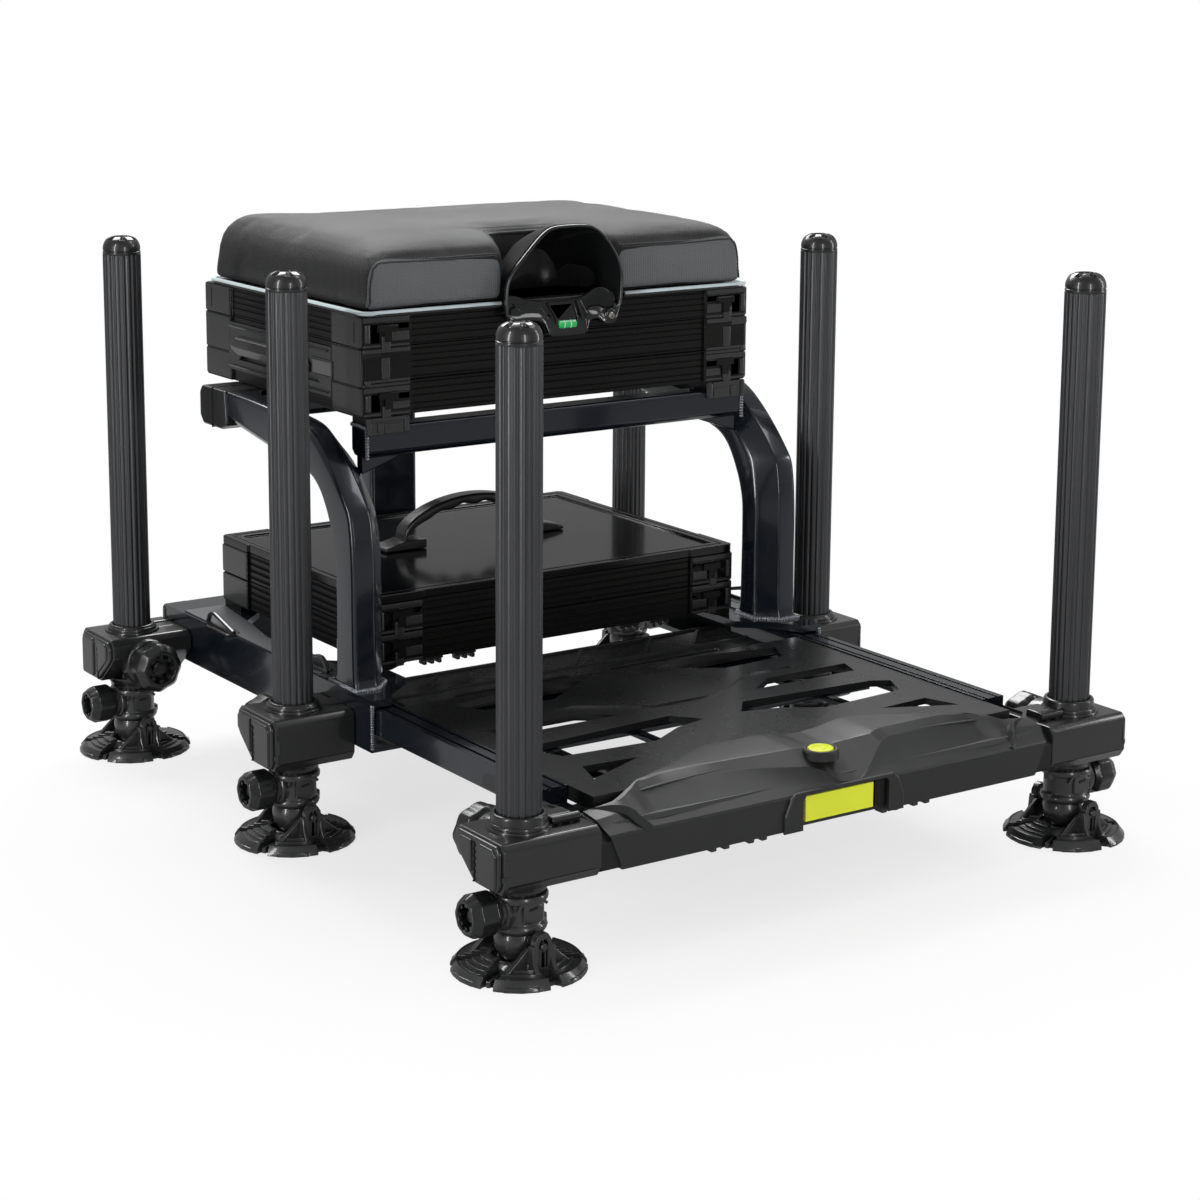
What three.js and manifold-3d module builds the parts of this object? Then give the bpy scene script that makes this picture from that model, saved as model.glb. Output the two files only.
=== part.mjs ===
// A fishing seat box on six fluted legs, in millimetres with +Z up.
// X runs across the seat, -Y is the side where the angler's feet rest, and Z = 0 is the ground.
// The origin lies on the ground, half way between the front and the rear pair of legs.
import * as THREE from "three";
import { mergeVertices } from "three/addons/utils/BufferGeometryUtils.js";
import Module from "manifold-3d";

const wasm = await Module();
wasm.setup();

// Gaps and tolerances shared by all pieces.
const gap = 0.3;
const overrun = 5;
const mergeTolerance = 0.0005;
const weldTolerance = 0.002;
const fullTurn = 2 * Math.PI;

// Where the six legs stand.
const frontRowY = -347.5;
const middleRowY = 20;
const rearRowY = 347.5;

// How far each pair of legs, the arches and the base stand off from what carries them.
const archStandoff = 35;
const archMargin = 3;
const frontLegStandoff = 41;
const middleLegStandoff = 42.5;
const rearLegStandoff = 47;

// Half widths: the box sets them all, and each of the others stands off from the one that it is fixed to.
const boxHalfWidth = 212;
const archOuterX = boxHalfWidth + archStandoff;
const baseOuterX = archOuterX + archMargin;
const frontHalfSpan = baseOuterX + frontLegStandoff;
const middleHalfSpan = baseOuterX + middleLegStandoff;
const rearHalfSpan = baseOuterX + rearLegStandoff;

// Leg tubes.
const legTop = 508;
const rearRightLegDrop = 14;
const legBottom = 46;
const legRadius = 18;
const legBoreRadius = 15;
const fluteCount = 20;
const fluteDepth = 0.8;
const legCapHeight = 17;
const legCapRadius = 17.4;
const legCapRim = 4;
const legPlugDepth = 12;
const legPlugGrip = 0.6;
const roundSteps = 12;
const bowlSteps = 3;
const ballSteps = 4;

// Corner housings that the legs slide through.
const housingLow = 75;
const housingHigh = 116;
const housingHalfDepth = 36;
const housingOuterReach = 33;
const housingLowChamfer = 6;
const housingTopSlopeY = 14;
const housingTopSlopeZ = 12;
const endPlateThickness = 7;
const endPlateMargin = 2;
const endPlateGroove = 2.4;
const skirtBottom = 66;
const skirtRadius = 21.5;
const bushRadius = 27;
const collarRadius = 25;
const collarBase = 120;
const collarTop = 128;
const collarLip = 1.6;
const knobBossRadius = 17;
const knobBossReach = 5;
const releaseTabLength = 15;
const releaseTabWidth = 14;
const releaseTabHeight = 10;

// Lock knobs on the housings and on the foot clamps.
const housingKnobRadius = 24;
const housingKnobLength = 26;
const housingKnobHeight = 95;
const clampKnobRadius = 18.5;
const clampKnobLength = 26;
const clampKnobHeight = 51;
const knobSides = 8;
const knobWaistShare = 0.8;
const knobFaceShare = 0.86;
const knobRecessShare = 0.6;
const knobRecessDepth = 7;
const knobBevel = 4;

// Clamp sleeve at the foot of each leg tube.
const clampBottom = 33;
const clampTop = 64;
const clampRadius = 22;
const clampWaistRadius = 20.6;
const clampBandHeight = 7;
const clampBossRadius = 14;
const clampBossReach = 23.5;

// Telescopic stem with its ball, and the swivelling foot.
const stemRadius = 13.6;
const stemTop = 232;
const ballRadius = 20;
const ballCentre = 25;
const padRadius = 54.35;
const padRimHeight = 6;
const padShoulderRadius = 39;
const padShoulderHeight = 10;
const padNeckRadius = 25.5;
const padNeckHeight = 20;
const padPetals = 6;
const padSlotWidth = 4;
const padSlotDepth = 9;
const padFloor = 3.2;
const earOffset = 29.5;
const earThickness = 6;
const earHalfWidth = 7.5;
const earTop = 40;
const earSlotHalfWidth = 2.4;
const earSlotLow = 22;
const earSlotHigh = 33;

// Base frame: two channel rails with top plates, a bottom tube and the rear rail.
const baseWall = 3.6;
const baseTop = 135;
const baseLow = 88;
const plateThickness = 6.5;
const baseFlange = 5;
const baseFrontY = -45;
const baseRearY = 372;
const bottomFlangeWidth = 34;
const plateNoseWidth = 21;
const plateTabWidth = 64;
const plateWaistWidth = 33;
const bottomFlangeInnerX = baseOuterX - bottomFlangeWidth;
const plateNoseInnerX = baseOuterX - plateNoseWidth;
const plateTabInnerX = baseOuterX - plateTabWidth;
const plateWaistInnerX = baseOuterX - plateWaistWidth;
const plateTabStartY = 6;
const plateTabEndY = 70;
const plateWaistStartY = 96;
const plateWaistEndY = 262;
const plateRearTabY = 292;
const bottomTubeWidth = 32;
const bottomTubeY = -30;
const rearRailFrontY = 346;
const rearRailHeight = 30;

// Bent seat arches, one on each side: [Y, Z] points that the outer and inner edge of the tube pass through.
const archWidth = 38;
const archFoot = baseTop + gap;
const archOuterEdge = [[-14, archFoot], [-10, 230], [-3, 291], [35, 331], [82, 361], [145, 366], [235, 369]];
const archInnerEdge = [[34, archFoot], [30, 230], [42, 281], [68, 311], [98, 319], [145, 325], [235, 339]];
const archSpans = 14;
const archCorner = 4;
const archSlantWidth = 17;
const archSlantShare = 0.4;
const archRearChamfer = 8;
const endBlockOutline = [[229, 337], [240, 332], [278, 332], [285, 340], [285, 363], [280, 369.4],
  [232, 369.4]];
const endBlockProud = 2;

// Cross rails of the seat frame and the rear column.
const crossRailTop = 361;
const crossRailHeight = 28;
const crossRailFrontY = 32;
const crossRailDepth = 28;
const crossRailChamfer = 5;
const gussetReach = 46;
const gussetDrop = 16;
const gussetThickness = 10;
const columnHalfWidth = 27.5;
const columnDepth = 26;
const rearCrossRailY = 257;
const columnArmHalfWidth = 20;

// Seat box: a drawer unit with a shallow tray on top.
const boxFrontY = 33;
const boxRearY = 339;
const cornerProud = 2;
const cornerWidthX = 50;
const cornerWidthY = 54;
const boxWall = 9;
const boxBottom = 370;
const boxSplit = 432;
const boxTop = 459.7;
const boxFloor = 5;
const stripGroove = 1.4;
const stripGrooveHeight = 1.6;
const clipHeight = boxBottom - crossRailTop - gap;
const clipWidth = 42;
const clipInset = 4;
const clipOuterX = boxHalfWidth - clipInset;
const clipDepth = 26;
const cornerRound = 4;

// Corner catches on the box castings.
const catchWidth = 20;
const catchHeight = 15;
const catchReach = 2.2;
const catchStemWidth = 8;
const catchStemHeight = 9;

// Drawer that opens to the left.
const drawerFrontY = 87;
const drawerRearY = 291;
const drawerLow = 381;
const drawerHigh = 427;
const drawerEndRoom = 26;
const drawerInnerX = boxHalfWidth - drawerEndRoom;
const drawerWall = 3;
const drawerFaceThickness = 8;
const drawerGripLow = 392;
const drawerGripHigh = 414;
const drawerGripInset = 22;
const drawerGripDepth = 5;

// Cushion base, cushion and the pole socket in its front edge.
const seatBoardThickness = 4;
const seatOverhang = 1;
const seatBaseBottom = boxTop + gap;
const seatBaseTop = seatBaseBottom + seatBoardThickness;
const seatHalfWidth = boxHalfWidth + seatOverhang;
const seatFrontY = 28;
const seatRearY = 334;
const seatCorner = 14;
const seatCornerSteps = 3;
const cushionHeight = 54;
const cushionTop = seatBaseTop + cushionHeight;
const cushionCrown = 8;
const cushionDraw = 5;
const cushionRoll = 15;
const cushionCrownReach = 110;
const cushionSteps = 3;
const notchHalfWidth = 72;
const notchDepth = 84;
const notchLip = 26;
const socketHalfWidth = 66;
const socketFrontY = 22;
const socketRearY = 96;
const socketRise = 14;
const socketBackDrop = 2;
const socketTop = cushionTop + socketRise;
const socketBackTop = cushionTop - socketBackDrop;
const socketBottom = seatBaseTop + gap;
const socketLipDrop = 36;
const socketLipCornerDrop = 12;
const socketLipBottom = seatBaseTop - socketLipDrop;
const socketLipCorner = seatBaseTop - socketLipCornerDrop;
const socketWall = 3.5;
const socketLipDepth = 10;
const socketLipBack = 4;
const socketLipHalfWidth = 58;
const socketChinHalfWidth = 32;
const socketBackHalfWidth = 46;
const socketSteps = 10;

// Carry case under the seat.
const caseBearing = 14;
const caseHalfWidth = plateTabInnerX + caseBearing;
const caseFrontY = 34;
const caseRearY = 338;
const caseBottom = 141;
const caseSplit = 198;
const caseTop = 206;
const caseWall = 8;
const caseFloor = 5;
const caseFootTaper = 16;
const caseFootLength = 34;
const lidRecess = 2;
const lidRim = 14;

// Carry handle on the case lid.
const handleHalfSpan = 80;
const handleY = 197;
const handleRise = 34;
const handleFootLength = 46;
const handleFootWidth = 26;
const handleFootHeight = 9;
const handleGripWidth = 20;
const handleGripHeight = 11;
const handleFingerDepth = 3;
const handleFingers = 6;

// Sliding footplate.
const railInset = 4;
const railOuterX = baseOuterX - railInset;
const railWidth = 24;
const railTop = 127;
const railLow = 104;
const railFrontY = frontRowY + housingHalfDepth + gap;
const railRearY = 60;
const railGroove = 2.2;
const railGrooveInset = 6;
const railGrooveWidth = 3;
const beamFrontY = -376;
const beamRearY = -318;
const beamLow = 80;
const beamHigh = 112;
const beamTopSlopeY = 18;
const beamTopSlopeZ = 14;
const beamShortfall = 8.4;
const beamHalfLength = railOuterX - beamShortfall;
const stretcherY = -50;
const stretcherDepth = 22;
const stretcherHeight = 10;
const deckTop = 126;
const deckThickness = 6;
const deckFrontY = -346;
const deckRearY = -47;
const deckEdgeGap = 1;
const deckRib = 12;
const deckRibWidth = 4;
const deckPanelRise = 1.4;

// Right-hand half of the deck: its slots, and the raised panel that runs on to both sides. Each point is a
// share of the half width out from the middle, and a share of the depth forward from the rear edge.
const deckSlotShares = [
  [[0.181, 0.05], [0.452, 0.017], [0.814, 0.064], [0.747, 0.161], [0.434, 0.177]],
  [[0.335, 0.415], [0.48, 0.338], [0.896, 0.334], [0.86, 0.415]],
  [[0.09, 0.582], [0.244, 0.609], [0.416, 0.682], [0.824, 0.659], [0.887, 0.562], [0.814, 0.532],
    [0.181, 0.502]],
  [[0.593, 0.779], [0.833, 0.766], [0.882, 0.876]],
];
const deckPanelShares = [[0.109, 0.057], [0.367, 0.187], [0.679, 0.187], [0.715, 0.231], [0.661, 0.278],
  [0.434, 0.278], [0.281, 0.348], [0.149, 0.405]];

// Moulded cover over the front beam.
const coverShortfall = 0.6;
const coverHalfLength = beamHalfLength - coverShortfall;
const coverFrontY = -384;
const coverLow = 76;
const coverBrow = 103;
const coverUnderside = 128;
const coverTopSlope = 12;
const coverRearDrop = 2;

// Stations from the middle of the cover to its end: X, shoulder Y and Z, top Z, rear edge Y.
// First the notch at the level, then the full brow, the scoop, and an end that carries on the housing.
const coverStations = [[0, -364, 119, 132.5, -276], [14, -360, 122, 132.5, -276],
  [28, -353, 126, 132.5, -276], [76, -351, 127, 132.5, -277], [124, -347, 127, 132, -306],
  [148, -340, 122, 130.5, -326], [174, -360, 115, 121, -346], [190, -369, 116, 118.5, -350],
  [coverHalfLength, -370, 116, 118.5, -350]];

// Release pull set in the front face of the cover.
const pullHalfWidth = 36;
const pullLow = 81;
const pullHigh = 103;
const pullThickness = 4;
const pullSetBack = 1.5;
const pullLipHeight = 4;
const pullWellMargin = 3;
const pullWellEnd = 16;

// Colours and finishes.
const finishes = {
  anodised: { color: 0x2e2f31, roughness: 0.42, metalness: 0.8 },
  blueBlack: { color: 0x10151b, roughness: 0.22, metalness: 0.5 },
  moulding: { color: 0x1f2021, roughness: 0.55, metalness: 0.05 },
  deckPlastic: { color: 0x1a1b1c, roughness: 0.45, metalness: 0.05 },
  extrusion: { color: 0x121211, roughness: 0.4, metalness: 0.6 },
  lidPanel: { color: 0x161717, roughness: 0.25, metalness: 0.3 },
  weave: { color: 0x2b2b2c, roughness: 0.9, metalness: 0 },
  lime: { color: 0xc8e020, roughness: 0.4, metalness: 0 },
};

// Turns a closed geometry into a solid that can be cut and joined.
function solidOf(geometry) {
  const loose = geometry.index ? geometry.toNonIndexed() : geometry.clone();
  loose.deleteAttribute("normal");
  loose.deleteAttribute("uv");
  const merged = mergeVertices(loose, mergeTolerance);
  const corners = merged.index.array;
  const kept = [];
  for (let i = 0; i < corners.length; i += 3) {
    const [a, b, c] = [corners[i], corners[i + 1], corners[i + 2]];
    if (a !== b && b !== c && c !== a) kept.push(a, b, c);
  }
  const vertProperties = merged.attributes.position.array;
  const triVerts = new Uint32Array(kept);
  const made = new wasm.Manifold(new wasm.Mesh({ numProp: 3, vertProperties, triVerts }));
  if (made.volume() > 0) return made;
  for (let i = 0; i < triVerts.length; i += 3) {
    [triVerts[i + 1], triVerts[i + 2]] = [triVerts[i + 2], triVerts[i + 1]];
  }
  return new wasm.Manifold(new wasm.Mesh({ numProp: 3, vertProperties, triVerts }));
}

// Joins solids into one.
function join(...solids) {
  return solids.reduce((whole, next) => whole.add(next));
}

// Cuts the later solids out of the first one.
function cut(body, ...tools) {
  return tools.reduce((rest, tool) => rest.subtract(tool), body);
}

// A straight block between two corners.
function block([x0, y0, z0], [x1, y1, z1]) {
  const box = new THREE.BoxGeometry(Math.abs(x1 - x0), Math.abs(y1 - y0), Math.abs(z1 - z0));
  return solidOf(box.translate((x0 + x1) / 2, (y0 + y1) / 2, (z0 + z1) / 2));
}

// An outline drawn in one plane and pushed along the third axis.
const planes = {
  x: [new THREE.Vector3(0, 1, 0), new THREE.Vector3(0, 0, 1), new THREE.Vector3(1, 0, 0)],
  y: [new THREE.Vector3(1, 0, 0), new THREE.Vector3(0, 0, 1), new THREE.Vector3(0, -1, 0)],
  z: [new THREE.Vector3(1, 0, 0), new THREE.Vector3(0, 1, 0), new THREE.Vector3(0, 0, 1)],
};

function prism(axis, outline, from, to, holes = []) {
  const shape = new THREE.Shape(outline.map(([a, b]) => new THREE.Vector2(a, b)));
  shape.holes = holes.map((hole) => new THREE.Path(hole.map(([a, b]) => new THREE.Vector2(a, b))));
  const low = Math.min(from, to);
  const high = Math.max(from, to);
  const geometry = new THREE.ExtrudeGeometry(shape, { depth: high - low, bevelEnabled: false });
  geometry.applyMatrix4(new THREE.Matrix4().makeBasis(...planes[axis]));
  const start = axis === "y" ? high : low;
  const shift = { x: [start, 0, 0], y: [0, start, 0], z: [0, 0, start] }[axis];
  return solidOf(geometry.translate(...shift));
}

// A profile of [radius, height] points turned about the vertical axis, or about X or Y at a given height.
function turned(profile, sides, axis = "z", way = 1) {
  const points = profile.map(([radius, height]) => new THREE.Vector2(radius, height));
  const geometry = new THREE.LatheGeometry(points, sides);
  if (axis === "z") geometry.rotateX(Math.PI / 2);
  if (axis === "x") geometry.rotateZ((-way * Math.PI) / 2);
  if (axis === "y" && way < 0) geometry.rotateZ(Math.PI);
  return solidOf(geometry);
}

// A skin stretched over rings that all have the same number of points, closed at both ends.
function loft(rings) {
  const count = rings[0].length;
  const points = rings.flat();
  const index = [];
  for (let r = 0; r + 1 < rings.length; r++) {
    for (let i = 0; i < count; i++) {
      const a = r * count + i;
      const b = r * count + ((i + 1) % count);
      index.push(a, b, a + count, b, b + count, a + count);
    }
  }
  for (const [first, flip] of [[0, true], [(rings.length - 1) * count, false]]) {
    const centre = points.length;
    const ring = points.slice(first, first + count);
    const middle = ring.reduce((sum, p) => sum.add(p), new THREE.Vector3()).divideScalar(count);
    points.push(middle);
    for (let i = 0; i < count; i++) {
      const a = first + i;
      const b = first + ((i + 1) % count);
      index.push(...(flip ? [centre, b, a] : [centre, a, b]));
    }
  }
  const geometry = new THREE.BufferGeometry().setFromPoints(points);
  geometry.setIndex(index);
  return solidOf(geometry);
}

// The corner points of a regular polygon whose flats clear a round piece of the given radius.
function ringPoints(radius, sides, x = 0, y = 0) {
  return Array.from({ length: sides }, (_, i) => {
    const angle = (i * fullTurn) / sides;
    return [x + radius * Math.cos(angle), y + radius * Math.sin(angle)];
  });
}

function clearing(radius, sides) {
  return (radius + gap) / Math.cos(Math.PI / sides);
}

// A rectangle with rounded corners, as [a, b] points.
function roundedRectangle(a0, a1, b0, b1, radius, steps = 2) {
  const corners = [[a1 - radius, b1 - radius, 0], [a0 + radius, b1 - radius, 1],
    [a0 + radius, b0 + radius, 2], [a1 - radius, b0 + radius, 3]];
  return corners.flatMap(([a, b, quarter]) =>
    Array.from({ length: steps + 1 }, (_, i) => {
      const angle = ((quarter + i / steps) * Math.PI) / 2;
      return [a + radius * Math.cos(angle), b + radius * Math.sin(angle)];
    }));
}

function moved(solid, x, y, z) {
  return solid.translate([x, y, z]);
}

const assembly = new THREE.Group();

// Adds one named piece to the assembly.
function addPiece(name, solid, finish) {
  const { vertProperties, triVerts } = solid.simplify(weldTolerance).getMesh();
  const geometry = new THREE.BufferGeometry();
  geometry.setAttribute("position", new THREE.BufferAttribute(vertProperties, 3));
  geometry.setIndex(new THREE.BufferAttribute(triVerts, 1));
  geometry.computeVertexNormals();
  const mesh = new THREE.Mesh(geometry, new THREE.MeshStandardMaterial(finishes[finish]));
  mesh.name = name;
  assembly.add(mesh);
}

// The fluted tube of a leg with its domed end cap.
function legTube(top) {
  const outline = Array.from({ length: fluteCount * 2 }, (_, i) => {
    const angle = (i * fullTurn) / (fluteCount * 2);
    const radius = legRadius - (i % 2) * fluteDepth;
    return [radius * Math.cos(angle), radius * Math.sin(angle)];
  });
  const capBase = top - legCapHeight;
  const tube = prism("z", outline, legBottom, capBase, [ringPoints(legBoreRadius, roundSteps)]);
  const plugRadius = legBoreRadius + legPlugGrip;
  const domeBase = capBase + legCapRim;
  const domeHeight = top - domeBase;
  const dome = [0, 1, 2, 3].map((i) => {
    const angle = (i * Math.PI) / 6;
    return [legCapRadius * Math.cos(angle), domeBase + domeHeight * Math.sin(angle)];
  });
  dome[dome.length - 1][0] = 0;
  const cap = turned([[0, capBase - legPlugDepth], [plugRadius, capBase - legPlugDepth],
    [plugRadius, capBase], [legCapRadius, capBase], ...dome], roundSteps);
  return join(tube, cap);
}

// The corner block, its bushing and collar, the end plate and the boss of the lock knob.
function cornerHousing(side, knobWay, innerReach) {
  const d = housingHalfDepth;
  const profile = (margin) => [
    [-d - margin, housingLow + housingLowChamfer], [-d + housingLowChamfer, housingLow - margin],
    [d - housingLowChamfer, housingLow - margin], [d + margin, housingLow + housingLowChamfer],
    [d + margin, housingHigh - housingTopSlopeZ], [d - housingTopSlopeY, housingHigh + margin],
    [-d + housingTopSlopeY, housingHigh + margin], [-d - margin, housingHigh - housingTopSlopeZ]];
  const plateEnd = housingOuterReach + endPlateThickness;
  const body = prism("x", profile(0), side * (housingOuterReach + endPlateGroove), -side * innerReach);
  const plate = prism("x", profile(endPlateMargin), side * housingOuterReach, side * plateEnd);
  const bush = turned([[0, skirtBottom], [skirtRadius, skirtBottom], [bushRadius, housingLow + gap],
    [bushRadius, housingHigh - collarLip], [collarRadius, collarBase], [collarRadius, collarTop - collarLip],
    [collarRadius - collarLip, collarTop], [0, collarTop]], roundSteps);
  const boss = moved(turned([[0, 0], [knobBossRadius, 0], [knobBossRadius, d + knobBossReach],
    [0, d + knobBossReach]], roundSteps, "y", knobWay), 0, 0, housingKnobHeight);
  const tab = block([-side * (collarRadius - collarLip), -releaseTabWidth / 2, housingHigh - overrun],
    [-side * (collarRadius + releaseTabLength), releaseTabWidth / 2, housingHigh + releaseTabHeight]);
  const tabRoof = prism("y", [[-side * collarRadius, housingHigh + releaseTabHeight + overrun],
    [-side * (collarRadius + releaseTabLength + overrun), housingHigh + releaseTabHeight + overrun],
    [-side * (collarRadius + releaseTabLength + overrun), housingHigh]],
  -releaseTabWidth, releaseTabWidth);
  const bore = prism("z", ringPoints(clearing(legRadius, roundSteps), roundSteps),
    skirtBottom - overrun, collarTop + overrun);
  const groove = block([side * (plateEnd - endPlateGroove), -endPlateGroove / 2, housingLow - overrun],
    [side * (plateEnd + overrun), endPlateGroove / 2, housingHigh + overrun]);
  return cut(join(body, plate, bush, boss, cut(tab, tabRoof)), bore, groove);
}

// An eight-sided lock knob with a waist, a bevelled face and a hollow in the face.
function lockKnob(radius, length) {
  const waist = radius * knobWaistShare;
  const face = radius * knobFaceShare;
  const recess = radius * knobRecessShare;
  return [[0, 0], [waist, 0], [radius, knobBevel], [radius, length - knobBevel], [face, length],
    [recess, length], [recess, length - knobRecessDepth], [0, length - knobRecessDepth]];
}

// The sleeve that grips the leg tube and the stem, with the boss of its knob.
function footClamp(side) {
  const sleeve = turned([[0, clampBottom], [clampRadius, clampBottom],
    [clampRadius, clampBottom + clampBandHeight], [clampWaistRadius, clampBottom + clampBandHeight],
    [clampWaistRadius, clampTop - clampBandHeight], [clampRadius, clampTop - clampBandHeight],
    [clampRadius, clampTop], [0, clampTop]], roundSteps);
  const boss = moved(turned([[0, 0], [clampBossRadius, 0], [clampBossRadius, clampBossReach],
    [0, clampBossReach]], roundSteps, "x", side), 0, 0, clampKnobHeight);
  const seat = prism("z", ringPoints(clearing(legRadius, roundSteps), roundSteps),
    legBottom - gap, clampTop + overrun);
  const throat = prism("z", ringPoints(clearing(stemRadius, roundSteps), roundSteps),
    clampBottom - overrun, legBottom);
  return cut(join(sleeve, boss), seat, throat);
}

// The stem that telescopes out of the leg, ending in the ball of the foot.
function footStem() {
  const shoulder = clampBottom - gap;
  const start = -Math.PI / 2;
  const end = Math.asin((shoulder - ballCentre) / ballRadius);
  const ball = Array.from({ length: ballSteps + 1 }, (_, i) => {
    const angle = start + ((end - start) * i) / ballSteps;
    return [i ? ballRadius * Math.cos(angle) : 0, ballCentre + ballRadius * Math.sin(angle)];
  });
  return turned([...ball, [stemRadius, shoulder], [stemRadius, stemTop], [0, stemTop]], roundSteps);
}

// The round foot with six petals, a raised socket for the ball and two slotted ears.
function footPad() {
  const slotHalf = Math.asin(padSlotWidth / 2 / padRadius);
  const slotRoot = padRadius - padSlotDepth;
  const petal = fullTurn / padPetals;
  const outline = Array.from({ length: padPetals }, (_, i) => {
    const middle = i * petal;
    const edge = petal / 2 - slotHalf;
    const at = (radius, angle) => [radius * Math.cos(angle), radius * Math.sin(angle)];
    return [at(padRadius, middle - edge), at(padRadius, middle - edge / 2), at(padRadius, middle),
      at(padRadius, middle + edge / 2), at(padRadius, middle + edge), at(slotRoot, middle + petal / 2)];
  }).flat();
  const disc = prism("z", outline, 0, padRimHeight);
  const cone = turned([[0, padFloor], [padShoulderRadius, padFloor], [padShoulderRadius, padShoulderHeight],
    [padNeckRadius, padNeckHeight], [0, padNeckHeight]], roundSteps);
  const ears = [-1, 1].map((way) => prism("y", [[-earHalfWidth, padFloor], [earHalfWidth, padFloor],
    [earHalfWidth, earTop - earHalfWidth], [earHalfWidth / 2, earTop], [-earHalfWidth / 2, earTop],
    [-earHalfWidth, earTop - earHalfWidth]], way * earOffset, way * (earOffset + earThickness),
  [[[-earSlotHalfWidth, earSlotLow], [earSlotHalfWidth, earSlotLow],
    [earSlotHalfWidth, earSlotHigh], [-earSlotHalfWidth, earSlotHigh]]]));
  const bowlRadius = ballRadius + gap;
  const bowl = Array.from({ length: bowlSteps + 1 }, (_, i) => {
    const angle = ((i / bowlSteps - 1) * Math.PI) / 2;
    const reach = bowlRadius / Math.cos(Math.PI / roundSteps);
    return [i ? reach * Math.cos(angle) : 0, ballCentre + reach * Math.sin(angle)];
  });
  const bowlTool = turned([...bowl, [clearing(ballRadius, roundSteps), earTop], [0, earTop]], roundSteps);
  return cut(join(disc, cone, ...ears), bowlTool);
}

// One leg with everything that rides on it or holds it.
function addLeg(name, side, halfSpan, rowY, knobWay, innerReach, top) {
  const x = side * halfSpan;
  const seat = (solid) => moved(solid, x, rowY, 0);
  addPiece(`leg_tube_${name}`, seat(legTube(top)), "anodised");
  addPiece(`corner_housing_${name}`, seat(cornerHousing(side, knobWay, innerReach)), "moulding");
  const housingKnob = turned(lockKnob(housingKnobRadius, housingKnobLength), knobSides, "y", knobWay);
  const knobY = rowY + knobWay * (housingHalfDepth + knobBossReach + gap);
  addPiece(`housing_knob_${name}`, moved(housingKnob, x, knobY, housingKnobHeight), "moulding");
  addPiece(`foot_clamp_${name}`, seat(footClamp(side)), "moulding");
  const clampKnob = turned(lockKnob(clampKnobRadius, clampKnobLength), knobSides, "x", side);
  addPiece(`clamp_knob_${name}`, moved(clampKnob, x + side * (clampBossReach + gap), rowY, clampKnobHeight),
    "moulding");
  addPiece(`foot_stem_${name}`, seat(footStem()), "moulding");
  addPiece(`foot_pad_${name}`, seat(footPad()), "moulding");
}

const frontInnerReach = frontHalfSpan - beamHalfLength - gap;
const middleInnerReach = middleHalfSpan - baseOuterX - gap;
const rearInnerReach = rearHalfSpan - baseOuterX - gap;

for (const [sideName, side, rearTop] of [["left", -1, legTop], ["right", 1, legTop - rearRightLegDrop]]) {
  addLeg(`front_${sideName}`, side, frontHalfSpan, frontRowY, 1, frontInnerReach, legTop);
  addLeg(`middle_${sideName}`, side, middleHalfSpan, middleRowY, 1, middleInnerReach, legTop);
  addLeg(`rear_${sideName}`, side, rearHalfSpan, rearRowY, -1, rearInnerReach, rearTop);
}

// Base frame: on each side a rail open to the inside, with a shaped top plate.
function baseSide(side) {
  const inner = baseOuterX - baseWall;
  const wall = block([side * inner, baseFrontY, baseLow], [side * baseOuterX, baseRearY, baseTop]);
  const flange = block([side * bottomFlangeInnerX, baseFrontY, baseLow],
    [side * baseOuterX, baseRearY, baseLow + baseFlange]);
  const plateOutline = [[baseOuterX, baseFrontY], [plateNoseInnerX, baseFrontY],
    [plateWaistInnerX, (baseFrontY + plateTabStartY) / 2], [plateTabInnerX, plateTabStartY],
    [plateTabInnerX, plateTabEndY], [plateWaistInnerX, plateWaistStartY],
    [plateWaistInnerX, plateWaistEndY], [plateTabInnerX, plateRearTabY],
    [plateTabInnerX, baseRearY], [baseOuterX, baseRearY]].map(([x, y]) => [side * x, y]);
  const plate = prism("z", plateOutline, baseTop - plateThickness, baseTop);
  return join(wall, flange, plate);
}

function baseFrame() {
  const inner = bottomFlangeInnerX + overrun;
  const tube = block([-inner, bottomTubeY, baseLow],
    [inner, bottomTubeY + bottomTubeWidth, baseLow + baseFlange]);
  const rearRail = block([-inner, rearRailFrontY, baseLow], [inner, baseRearY, baseLow + rearRailHeight]);
  const rearCap = block([-plateTabInnerX - overrun, rearRailFrontY, baseLow],
    [plateTabInnerX + overrun, baseRearY, baseTop]);
  return join(baseSide(-1), baseSide(1), tube, rearRail, rearCap);
}
addPiece("base_frame", baseFrame(), "blueBlack");

// A bent tube that rises from the base and runs back as the seat rail, with a moulded block on its end.
// Its section is slanted between the front and the inner face and has a broken rear edge.
function seatArch(side) {
  const innerX = archOuterX - archWidth;
  const [outer, inner] = [archOuterEdge, archInnerEdge].map((edge) =>
    new THREE.SplineCurve(edge.map(([y, z]) => new THREE.Vector2(y, z))).getPoints(archSpans));
  const rings = outer.map(({ x: y0, y: z0 }, i) => {
    const { x: y1, y: z1 } = inner[i];
    const depth = Math.hypot(y1 - y0, z1 - z0);
    const c = archCorner;
    const section = [[archOuterX, c], [archOuterX - c, 0], [innerX + archSlantWidth, 0],
      [innerX, depth * archSlantShare], [innerX, depth - c], [innerX + c, depth],
      [archOuterX - archRearChamfer, depth], [archOuterX, depth - archRearChamfer]];
    return section.map(([across, inward]) => new THREE.Vector3(side * across,
      y0 + ((y1 - y0) * inward) / depth, z0 + ((z1 - z0) * inward) / depth));
  });
  const block = prism("x", endBlockOutline, side * innerX, side * (archOuterX + endBlockProud));
  return join(loft(rings), block);
}
addPiece("seat_arch_left", seatArch(-1), "blueBlack");
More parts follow.
